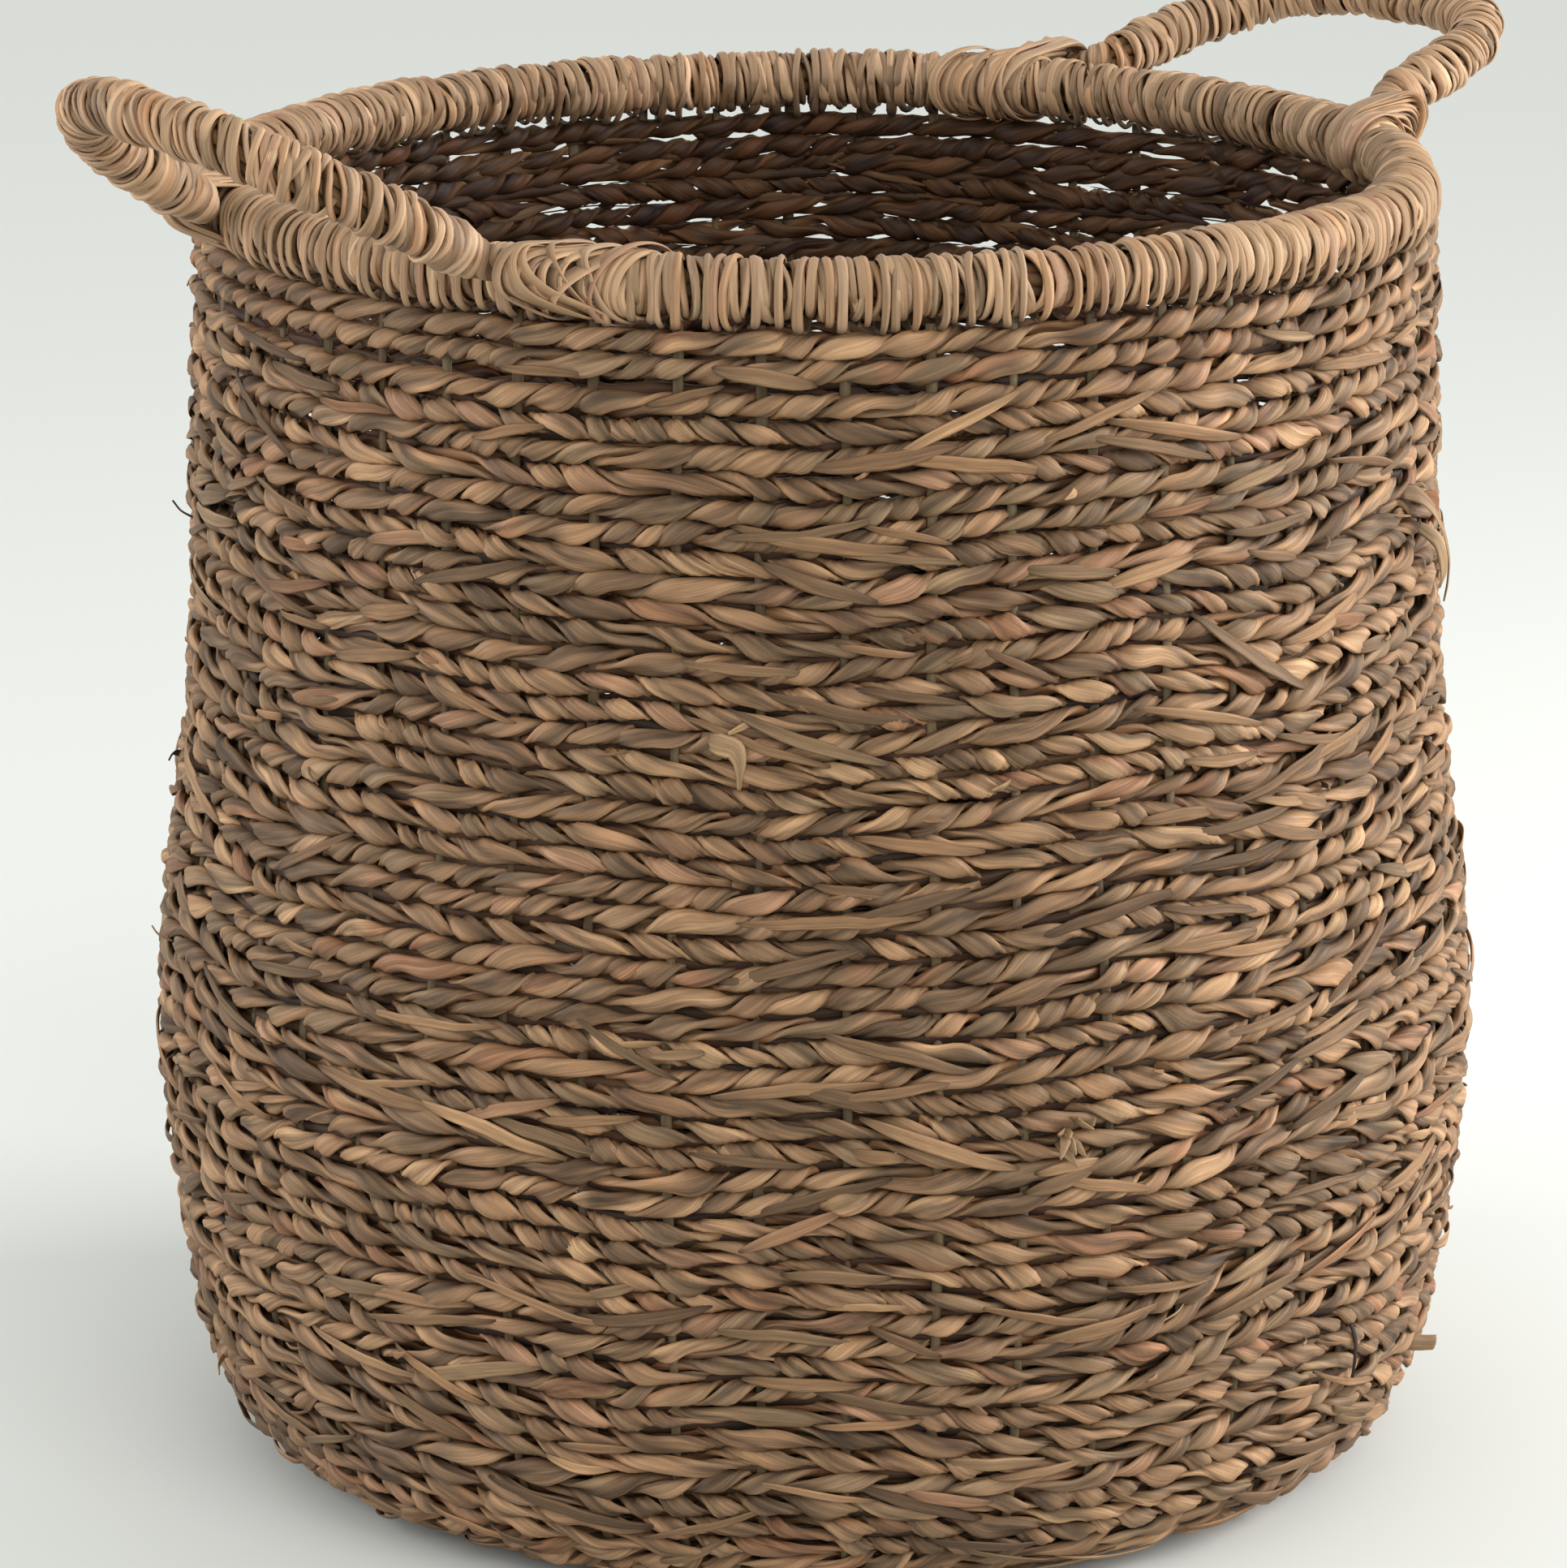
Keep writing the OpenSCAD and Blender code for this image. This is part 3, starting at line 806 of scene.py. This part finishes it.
# ---------------------------------------------------------------- wrapped tubes: rim and handles
def frames_on(centre, up, s):
    d = 0.5
    T = centre(s + d) - centre(s - d)
    T /= np.linalg.norm(T, axis=1)[:, None] + 1e-12
    u = up(s)
    A = u - T * (u * T).sum(1)[:, None]
    A /= np.linalg.norm(A, axis=1)[:, None] + 1e-12
    return T, A, np.cross(T, A)


def painted_depth_shade(P, C0, R):
    """Painted shade: darker the deeper a point lies in the winding."""
    d = np.linalg.norm(P - C0[:, None], axis=-1) - R[:, None]
    return 0.20 + 0.80 * smooth(-1.25, 0.3, d)


def wrap(parts, centre, up, total, radius, key, pitch, slant, closed_path, m=10, per_turn=22):
    """Strips of folded leaf wound round a path. centre(s) -> (n, 3) mm, radius(s) -> (n,), total is the length in mm."""
    s = 0.0
    strip = 0
    while s < total - 0.5 * pitch:
        b = parts[min(int(s / total * len(parts)), len(parts) - 1)]
        gs = rng(6, key, strip)
        turns = int(gs.integers(5, 16))
        if s + turns * pitch > total - 4 * pitch:
            turns = max(2, int(round((total - s) / pitch)))
        p = (total - s) / turns if s + turns * pitch > total - 0.5 * pitch else pitch
        n = turns * per_turn + 1
        t = np.linspace(0, turns, n)
        ang = TAU * t + gs.uniform(0, TAU)
        turn = np.floor(t).astype(int)
        # each turn is wound a little differently from the last
        jit = gs.normal(size=(turns + 3, 5))
        f = t - turn
        f = f * f * (3 - 2 * f)
        j = jit[turn] * (1 - f[:, None]) + jit[turn + 1] * f[:, None]
        lean = slant * (0.35 + 0.65 * np.clip(1 + 1.3 * math.sin(s / 47.0 + key) + 0.8 * math.sin(s / 19.0), 0, 2.2))
        adv = s + p * t + lean * np.cos(ang + 0.4) + 0.45 * j[:, 0] + 1.25 * j[:, 1] * np.cos(ang + 2 * j[:, 2]) + 0.42 * line_noise(t * 50, gs, 9) + 0.22 * line_noise(t * 50, gs, 4.5)
        adv = np.clip(adv, 0.2, total - 0.2) if not closed_path else adv
        # some turns ride over their neighbours
        rise = 0.30 * np.clip(j[:, 3], -1.2, 1.6) + 0.16 * np.sin(ang * 0.5 + gs.uniform(0, TAU)) + 0.16 * line_noise(t * 50, gs, 8)
        ends = np.minimum(t, turns - t)
        tucked = np.clip(1 - ends / 0.35, 0, 1)
        rad = radius(adv)
        small = rad / 8.2
        R = rad - 1.05 + rise * small - 1.4 * tucked
        C0 = centre(adv)
        Tn, A, Bv = frames_on(centre, up, adv)
        e = A * np.cos(ang)[:, None] + Bv * np.sin(ang)[:, None]
        C = C0 + e * R[:, None]
        wide = 1 + 0.22 * line_noise(t * 50, gs, 16) + 0.16 * j[:, 4]
        half_w = 0.58 * pitch * np.clip(wide, 0.6, 1.5) * (1 - 0.45 * tucked)
        if not closed_path:
            # broader where the handle bends, so that the turns still meet on the outside of the bend
            half_w = half_w * (1 + 0.45 * smooth(48, 26, np.minimum(adv, total - adv)))
        half_t = 1.08 * small * (1 + 0.2 * line_noise(t * 50, gs, 14)) / np.clip(wide, 0.8, 1.5) ** 0.5
        T1 = np.gradient(C, axis=0)
        T1 /= np.linalg.norm(T1, axis=1)[:, None] + 1e-12
        W = np.cross(T1, e)
        W /= np.linalg.norm(W, axis=1)[:, None] + 1e-12
        tilt = 0.10 + 0.20 * j[:, 2]
        W2 = W * np.cos(tilt)[:, None] + e * np.sin(tilt)[:, None]
        E2 = e * np.cos(tilt)[:, None] - W * np.sin(tilt)[:, None]
        along = t * TAU * rad.mean()
        X, Y, crease = strand_section(m, along, gs, half_t, half_w, 0.30, 0.12, 0.05, 3, 0.42)
        P = C[:, None] + E2[:, None] * X[..., None] + W2[:, None] * Y[..., None]
        colour = runs(along[-1] + 1, gs, 25, 120, LEAF, LEAF_W, 6.0)(along)
        shade = 1 + 0.16 * j[:, 0] + 0.14 * line_noise(t * 50, gs, 18)
        # painted shade: darker in the creases of the folded leaf, and darker and redder the deeper a point lies in the
        # winding
        col = colour[:, None] * np.clip(shade, 0.65, 1.35)[:, None, None] * (1 - 0.45 * crease[..., None])
        deep = painted_depth_shade(P, C0, rad)
        col = painted_shade_tint(col * deep[..., None], deep)
        b.sweep(P, np.clip(col, 0.006, 0.92), along, key * 100 + strip)
        s += (turns - 0.85) * p if s + turns * p < total - 2 * p else turns * p
        strip += 1


def loose_turns(b, centre, up, total, radius, key, count, closed_path, w_lo=1.7, w_hi=3.0):
    """Broad flat leaves that go once or so round over the winding, aslant."""
    for i in range(count):
        g = rng(41, key, i)
        turns = g.uniform(0.55, 1.3) if i % 4 == 0 else g.uniform(0.3, 0.7)
        n = int(26 * turns) + 8
        t = np.linspace(0, turns, n)
        ang = TAU * t + g.uniform(0, TAU)
        s0 = g.uniform(0, total) if closed_path else g.uniform(0.1, 0.9) * total
        adv = s0 + (g.uniform(3.0, 7.5) if i % 4 == 0 else g.uniform(5, 15)) * t * (1 if g.random() < 0.8 else -1) + 0.8 * line_noise(t * 40, g, 18)
        ends = np.minimum(t, turns - t)
        tucked = np.clip(1 - ends / 0.14, 0, 1)
        rad = radius(adv)
        R = rad + 0.15 + g.uniform(0, 0.45) - 1.9 * tucked
        C0 = centre(adv)
        Tn, A, Bv = frames_on(centre, up, adv)
        e = A * np.cos(ang)[:, None] + Bv * np.sin(ang)[:, None]
        hw = g.uniform(w_lo, w_hi) * (1 - 0.5 * tucked) * (1 + 0.15 * line_noise(t * 40, g, 14))
        col = pick(g, LEAF, LEAF_W) * g.uniform(0.9, 1.15)
        # painted shade: darker at the tucked ends, under the winding
        col = np.broadcast_to(col, (n, 3)) * (1 - 0.55 * tucked)[:, None]
        ribbon(b, C0 + e * R[:, None], e, hw, g.uniform(0.3, 0.75), col, 7000 + key * 400 + i, fold=g.uniform(0.0, 0.3), roll=g.normal() * 0.15)


RIM_LEN = TAU * RIM_R
RIM_G = rng(8)
RIM_H = [(k, RIM_G.normal() * 0.8 / k, RIM_G.uniform(0, TAU)) for k in range(2, 7)]
RIM_F = [(k, RIM_G.normal() * 0.30, RIM_G.uniform(0, TAU)) for k in range(9, 34, 3)]


def rim_centre(s):
    th = s / RIM_R
    dz = sum(a * np.cos(k * th + p) for k, a, p in RIM_H)
    dr = sum(0.6 * a * np.sin(k * th + 2 * p) for k, a, p in RIM_H)
    return np.stack([(RIM_R + dr) * np.cos(th), (RIM_R + dr) * np.sin(th), RIM_Z + dz], 1)


def rim_radius(s):
    th = s / RIM_R
    return RIM_TUBE + 0.35 * sum(a * np.cos(k * th + p) for k, a, p in RIM_F)


def rim_up(s):
    th = s / RIM_R
    return np.stack([np.cos(th), np.sin(th), np.zeros(len(s))], 1)


def bundle(centre, up, total, radius, name, body, node, closed_path, key):
    b = Build()
    n = int(total / 3.0)
    s = np.linspace(0, total, n, endpoint=not closed_path)
    C0 = centre(s)
    T, A, Bv = frames_on(centre, up, s)
    k = 6
    for i in range(k + 1):
        g = rng(9, key, i)
        rad = radius(s)
        rr = 0 * rad if i == k else rad * 0.62
        turns = max(1, round(total / 160))
        ph = i / k * TAU + turns * TAU * s / total
        C = C0 + (A * np.cos(ph)[:, None] + Bv * np.sin(ph)[:, None]) * rr[:, None]
        q = rad * 0.36
        X, Y, crease = strand_section(8, s, g, q, q, 0.0 if closed_path else 0.12, 0.0 if closed_path else 0.06)
        P = C[:, None] + A[:, None] * X[..., None] + Bv[:, None] * Y[..., None]
        # painted shade: the core is painted at about a third of the leaf colour, warmer, as it lies in the shade under
        # the winding
        col = np.broadcast_to(pick(g, LEAF), (n, 8, 3)) * np.array([0.36, 0.31, 0.24])
        b.sweep(P, col, s, 4000 + key * 10 + i, closed=closed_path)
    return b.make(name, body, [node], "core", M_CORE)


rim_parts = [Build(), Build(), Build()]
wrap(rim_parts, rim_centre, rim_up, RIM_LEN, rim_radius, 1, 2.6, 1.5, True)
for i, rb_ in enumerate(rim_parts):
    rb_.make(f"rim_leaf_wrap_{i + 1}", "basket", ["rim_wrap"], "leaf_wrap", M_LEAF)
bundle(rim_centre, rim_up, RIM_LEN, lambda s: RIM_TUBE - 2.9 + 0 * s, "rim_core_bundle", "basket", "rim_core", True, 1)

over_b = Build()
loose_turns(over_b, rim_centre, rim_up, RIM_LEN, rim_radius, 2, 330, True, 1.0, 1.8)
over_b.make("rim_loose_leaves", "basket", ["rim_wrap"], "leaf_wrap", M_LEAF)
over_b = Build()
# stitches: leaf that binds the rim down over the top courses of the wall
N_STITCH = 210
for i in range(N_STITCH):
    g = rng(42, i)
    n = 40
    t = np.linspace(0, 1, n)
    ang = TAU * t - math.pi / 2 + 0.3
    th0 = (i + g.uniform(-0.45, 0.45)) / N_STITCH * TAU
    lean = g.uniform(-2.0, 2.0)
    ext = g.uniform(0.4, 3.2)
    s_at = th0 * RIM_R + lean * np.cos(ang) + 1.0 * line_noise(t * 60, g, 20)
    C0 = rim_centre(s_at)
    er = rim_up(s_at)
    low = np.sin(ang) < 0
    c, q = np.cos(ang), np.sin(ang)
    R0 = rim_radius(s_at) + 0.25 + g.uniform(0, 0.4)
    x = np.where(low, np.sign(c) * np.abs(c) ** (2 / 3) * (R0 + 0.2), c * R0)
    x = x + np.where(low & (c < 0), 5.5 * np.abs(q) ** 0.5 * np.abs(c) ** 0.3, 0)
    z = np.where(low, -np.abs(q) ** (2 / 3) * (R0 + ext), q * R0)
    C = C0 + er * x[:, None]
    C[:, 2] += z
    Cm = C.mean(0)
    Nn = er * np.cos(ang)[:, None]
    Nn[:, 2] += np.sin(ang)
    # painted shade: darker where the stitch passes under the rim, and on the side facing into the basket
    deep = smooth(0.55, 1.0, -q)
    hw = g.uniform(0.9, 1.5) * (1 + 0.25 * line_noise(t * 60, g, 12))
    col = np.broadcast_to(pick(g, LEAF, LEAF_W) * g.uniform(0.8, 1.12), (n, 3)) * (1 - 0.6 * deep)[:, None]
    col = col * np.where(c < -0.1, 0.72, 1.0)[:, None]
    ribbon(over_b, C, Nn, hw, g.uniform(0.45, 0.85), col, 8000 + i, fold=g.uniform(0.05, 0.3))
over_b.make("rim_leaf_stitches", "basket", ["rim_wrap"], "leaf_wrap", M_LEAF)


def handle_path():
    """The handle's line in its own plane, foot to foot: Y between the feet, X away from the rim."""
    e = 2 / 2.8
    t = np.linspace(0.0, math.pi, 1200)
    y = np.sign(np.cos(t)) * np.abs(np.cos(t)) ** e * FOOT_Y
    x = np.abs(np.sin(t)) ** e * REACH
    keep = x > 12
    p = np.stack([x[keep], y[keep]], 1)
    foot = np.array([[0, STUB_Y], [0, 69.5], [0.2, 66.0], [2.2, 62], [6.5, 59]])
    p = np.concatenate([foot, p[::6], foot[::-1] * [1, -1]])
    p = chaikin(p, 2)
    d = np.concatenate([[0], np.cumsum(np.linalg.norm(np.diff(p, axis=0), axis=1))])
    q = np.linspace(0, d[-1], 320)
    return q, np.interp(q, d, p[:, 0]), np.interp(q, d, p[:, 1])


HQ, HX, HY = handle_path()
H_LEN = HQ[-1]


def handle_radius(s):
    """Thin where the end passes through its lashing, full beyond the bend."""
    e = np.minimum(s, H_LEN - s)
    return 3.35 + 2.5 * smooth(6, 11, e) + (HANDLE_TUBE - 5.85) * smooth(11, 24, e)


def handle_fns(side, sign, key):
    g = rng(10, key)
    w = [(g.normal() * 0.9, g.uniform(0, TAU), k) for k in (1, 2, 3)]
    lift = LIFTS[side]

    def centre(s):
        sc = np.clip(s, 0, H_LEN)
        over = s - sc
        x, y = np.interp(sc, HQ, HX), np.interp(sc, HQ, HY)
        y = y - over
        bow = np.sin(np.pi * sc / H_LEN) ** 2 * sum(a * np.sin(k * np.pi * sc / H_LEN + p) for a, p, k in w)
        X = AXIS_X + x * math.cos(lift) - bow * math.sin(lift)
        Z = AXIS_Z + x * math.sin(lift) + bow * math.cos(lift)
        return np.stack([sign * X, sign * y, Z], 1)

    def up(s):
        return np.broadcast_to(np.array([-sign * math.sin(lift), 0, math.cos(lift)]), (len(s), 3))

    return centre, up


for side, sign, key in (("right", 1, 11), ("left", -1, 12)):
    c, u = handle_fns(side, sign, key)
    hb, ob_ = Build(), Build()
    wrap([hb], c, u, H_LEN, handle_radius, key, 2.45, 1.9, False)
    loose_turns(ob_, lambda s, c=c: c(s), u, H_LEN, handle_radius, key, 70, False, 0.9, 1.7)
    hb.make(f"handle_leaf_wrap_{side}", f"handle_{side}", [f"handle_wrap_{side}"], "leaf_wrap", M_LEAF)
    ob_.make(f"handle_loose_leaves_{side}", f"handle_{side}", [f"handle_wrap_{side}"], "leaf_wrap", M_LEAF)
    bundle(c, u, H_LEN, lambda s: handle_radius(s) - 1.6, f"handle_core_bundle_{side}", f"handle_{side}", f"handle_core_{side}", False, key)


# ---------------------------------------------------------------- lashings
def lashing(name, node, sx, sy, key):
    """Leaf wound round the rim and the end of the handle together, running out on to the rim, with broad leaves crossed over it."""
    b = Build()
    mirror = np.array([sx, sy, 1.0])
    a = np.arange(96) / 96 * TAU
    dirs = np.stack([np.cos(a), np.sin(a)])

    def outline(y, extra):
        """Tight outline round both tubes in the plane at y, as evenly spaced (x, z) points."""
        q = RIM_TUBE + 0.75 + extra
        R = RIM_R + q * np.cos(a)
        rim = np.stack([np.sqrt(R * R - y * y), RIM_Z + q * np.sin(a)], 1)
        out = float(smooth(72.5, 88, y))
        cx = math.sqrt(RIM_R ** 2 - y * y)
        x2, z2, r2 = AXIS_X + (cx - AXIS_X) * out, AXIS_Z + (RIM_Z - AXIS_Z) * out, 5.9 + extra
        tube = np.stack([x2 + r2 * np.cos(a), z2 + r2 * np.sin(a)], 1)
        pts = np.concatenate([rim, tube])
        h = pts[np.argmax(pts @ dirs, axis=0)]
        h = np.concatenate([h, h[:1]])
        d = np.concatenate([[0], np.cumsum(np.linalg.norm(np.diff(h, axis=0), axis=1))])
        q = np.linspace(0, d[-1], 73)
        # the same material point keeps the same share of the way round, whatever the shape of the outline
        even = np.stack([np.interp(q, d, h[:, 0]), np.interp(q, d, h[:, 1])], 1)
        for _ in range(3):
            ring = even[:-1]
            ring = 0.5 * ring + 0.25 * (np.roll(ring, 1, 0) + np.roll(ring, -1, 0))
            even = np.concatenate([ring, ring[:1]])
        return even

    def wound(turns, start, y_fn, extra_fn, hw, half_t, tone, seed, fold, roll, per=44):
        n = int(turns * per) + 1
        t = np.linspace(0, turns, n)
        ys = np.clip(y_fn(t), 66.9, 95)
        ex = extra_fn(t) - 1.7 * np.clip(1 - np.minimum(t, turns - t) / 0.12, 0, 1)
        C, Nn = np.empty((n, 3)), np.zeros((n, 3))
        for i in range(n):
            h = outline(ys[i], ex[i])
            f = (t[i] + start) % 1 * 72
            k = int(f)
            p = h[k] * (1 - f + k) + h[k + 1] * (f - k)
            C[i] = p[0], ys[i], p[1]
            Nn[i, ::2] = p - h.mean(0)
        for _ in range(3):
            C[1:-1] = C[1:-1] * 0.5 + (C[:-2] + C[2:]) * 0.25
            Nn[1:-1] = Nn[1:-1] * 0.5 + (Nn[:-2] + Nn[2:]) * 0.25
        ends = np.clip(np.minimum(t, turns - t) / 0.12, 0, 1)
        # painted shade: darker at the tucked ends of each leaf
        col = np.broadcast_to(tone, (n, 3)) * (0.4 + 0.6 * ends)[:, None]
        ribbon(b, C * mirror, Nn * mirror, hw(t) * (0.5 + 0.5 * ends), half_t, col, seed, fold=fold, roll=roll(t), m=10)

    # leaf packed in past the end of the handle, under the winding
    for k in range(4):
        g = rng(50, key, k)
        ya = 74.6 + 3.2 * k
        # painted shade: these leaves under the winding are painted at about half the leaf colour
        wound(1.5, g.random(), lambda t: ya + 2.6 * t + 0.5 * np.sin(TAU * t), lambda t: -0.75 + 0 * t,
              lambda t: 2.6 + 0 * t, 0.5, pick(g, LEAF, LEAF_W) * 0.55, 9900 + key * 10 + k, 0.1, lambda t: 0 * t)
    # the winding that holds the end of the handle against the rim
    y0, k = 67.2, 0
    while y0 < 88:
        g = rng(51, key, k)
        turns = g.uniform(1.7, 3.3)
        p, lean, ph = 2.1, g.uniform(0.2, 1.0), g.uniform(0, TAU)
        wound(turns, g.random(),
              lambda t: y0 + p * t + lean * np.sin(TAU * t + ph) + 0.55 * line_noise(t * 50, rng(54, key, k), 9),
              lambda t: 0.15 + 0.45 * (k % 2) * 0.6 + 0.35 * line_noise(t * 50, rng(55, key, k), 14),
              lambda t: 1.85 * (1 + 0.2 * line_noise(t * 50, rng(56, key, k), 12)), 0.75,
              pick(g, LEAF, LEAF_W) * g.uniform(0.85, 1.1), 9000 + key * 40 + k, g.uniform(0.15, 0.4),
              lambda t: 0.22 * line_noise(t * 50, rng(57, key, k), 16))
        y0 += (turns - 0.35) * p
        k += 1
    # broad leaves crossed over the joint, and narrow ones that have slipped
    for k in range(7):
        g = rng(52, key, k)
        mid, slant = [76.5, 80.0, 73.5, 83.5, 72.0, 78.0, 86.0][k] + g.uniform(-1, 1), [6.4, -4.6, 4.0, 3.6, -2.6, 5.5, -3.0][k]
        ph = g.uniform(-0.5, 0.5)
        wid = [4.2, 2.9, 3.3, 2.2, 1.9, 1.6, 1.7][k]
        wound(g.uniform(0.95, 1.25), 0.55 + g.uniform(-0.12, 0.12),
              lambda t: mid + slant * np.sin(TAU * t + ph),
              lambda t: 0.95 + 0.28 * k + 0.25 * line_noise(t * 50, rng(58, key, k), 18),
              lambda t: wid * (1 + 0.14 * line_noise(t * 50, rng(59, key, k), 14)), 0.36,
              pick(g, LEAF, LEAF_W) * g.uniform(0.75, 1.12), 9500 + key * 20 + k, g.uniform(0.0, 0.14),
              lambda t: 0.10 * line_noise(t * 50, rng(60, key, k), 20))
    return b, name, node


for key, (x_name, sx) in enumerate((("right", 1), ("left", -1))):
    for k2, (y_name, sy) in enumerate((("front", -1), ("back", 1))):
        b, name, node = lashing(f"lashing_leaves_{x_name}_{y_name}", f"lashing_{x_name}_{y_name}", sx, sy, key * 2 + k2)
        b.make(name, "basket", [node], "leaf_band", M_LEAF)

# ---------------------------------------------------------------- stage, light, camera
world = bpy.data.worlds.new("studio")
bpy.context.scene.world = world
world.use_nodes = True
bg = world.node_tree.nodes["Background"]
bg.inputs["Color"].default_value = (0.86, 0.88, 0.86, 1)
bg.inputs["Strength"].default_value = 1.07

floor_me = bpy.data.meshes.new("studio_floor")
floor_me.from_pydata([(-40, -40, 0), (40, -40, 0), (40, 40, 0), (-40, 40, 0)], [], [(0, 1, 2, 3)])
floor = bpy.data.objects.new("studio_floor", floor_me)
bpy.context.scene.collection.objects.link(floor)
fm = bpy.data.materials.new("studio_floor")
fm.use_nodes = True
fp = fm.node_tree.nodes["Principled BSDF"]
fp.inputs["Base Color"].default_value = (0.585, 0.595, 0.575, 1)
fp.inputs["Roughness"].default_value = 1.0
fp.inputs["Specular IOR Level"].default_value = 0.0
floor_me.materials.append(fm)
floor.location.z = -0.0005

CAM_AZ, CAM_EL, CAM_D = math.radians(-44), math.radians(10.13), 2.260
back = Vector((math.sin(CAM_AZ) * math.cos(CAM_EL), -math.cos(CAM_AZ) * math.cos(CAM_EL), math.sin(CAM_EL)))
rim_mid = Vector((0, 0, RIM_Z * MM))
cam_data = bpy.data.cameras.new("camera")
cam = bpy.data.objects.new("camera", cam_data)
bpy.context.scene.collection.objects.link(cam)
cam.location = rim_mid + back * CAM_D
look = rim_mid - Vector((0, 0, 0.190))
cam.rotation_mode = "QUATERNION"
cam.rotation_quaternion = (look - cam.location).to_track_quat("-Z", "Y")
cam_data.sensor_width = 36
cam_data.lens = 9318 / 1931 * 36
cam_data.shift_x = -(1004 - 965.5) / 1931
cam_data.shift_y = (978 - 966) / 1931
cam_data.clip_end = 200
bpy.context.scene.camera = cam
right = Vector((math.cos(CAM_AZ), math.sin(CAM_AZ), 0))
fwd = Vector((-back.x, -back.y, 0)).normalized()


sun = bpy.data.lights.new("key", "SUN")
sun.energy, sun.angle, sun.color = 1.45, math.radians(50), (1, 0.985, 0.96)
key_light = bpy.data.objects.new("key", sun)
bpy.context.scene.collection.objects.link(key_light)
key_light.rotation_mode = "QUATERNION"
from_where = (right * 0.42 - fwd * 0.9).normalized() * math.cos(math.radians(27)) + Vector((0, 0, math.sin(math.radians(27))))
key_light.rotation_quaternion = (-from_where).to_track_quat("-Z", "Y")



def area(name, place, size, power, colour=(1, 1, 1)):
    l = bpy.data.lights.new(name, "AREA")
    l.energy, l.size, l.color = power, size, colour
    o = bpy.data.objects.new(name, l)
    bpy.context.scene.collection.objects.link(o)
    o.location = place
    o.rotation_mode = "QUATERNION"
    o.rotation_quaternion = (Vector((0, 0, 0.2)) - Vector(place)).to_track_quat("-Z", "Y")


area("side_right", tuple(right * 1.7 + fwd * 0.1 + Vector((0, 0, 0.75))), 0.9, 42, (1, 0.985, 0.96))
area("side_left", tuple(-right * 1.7 - fwd * 0.2 + Vector((0, 0, 0.75))), 0.9, 18, (0.98, 0.99, 1))

bpy.context.scene.view_settings.view_transform = "Standard"
bpy.context.scene.view_settings.look = "None"
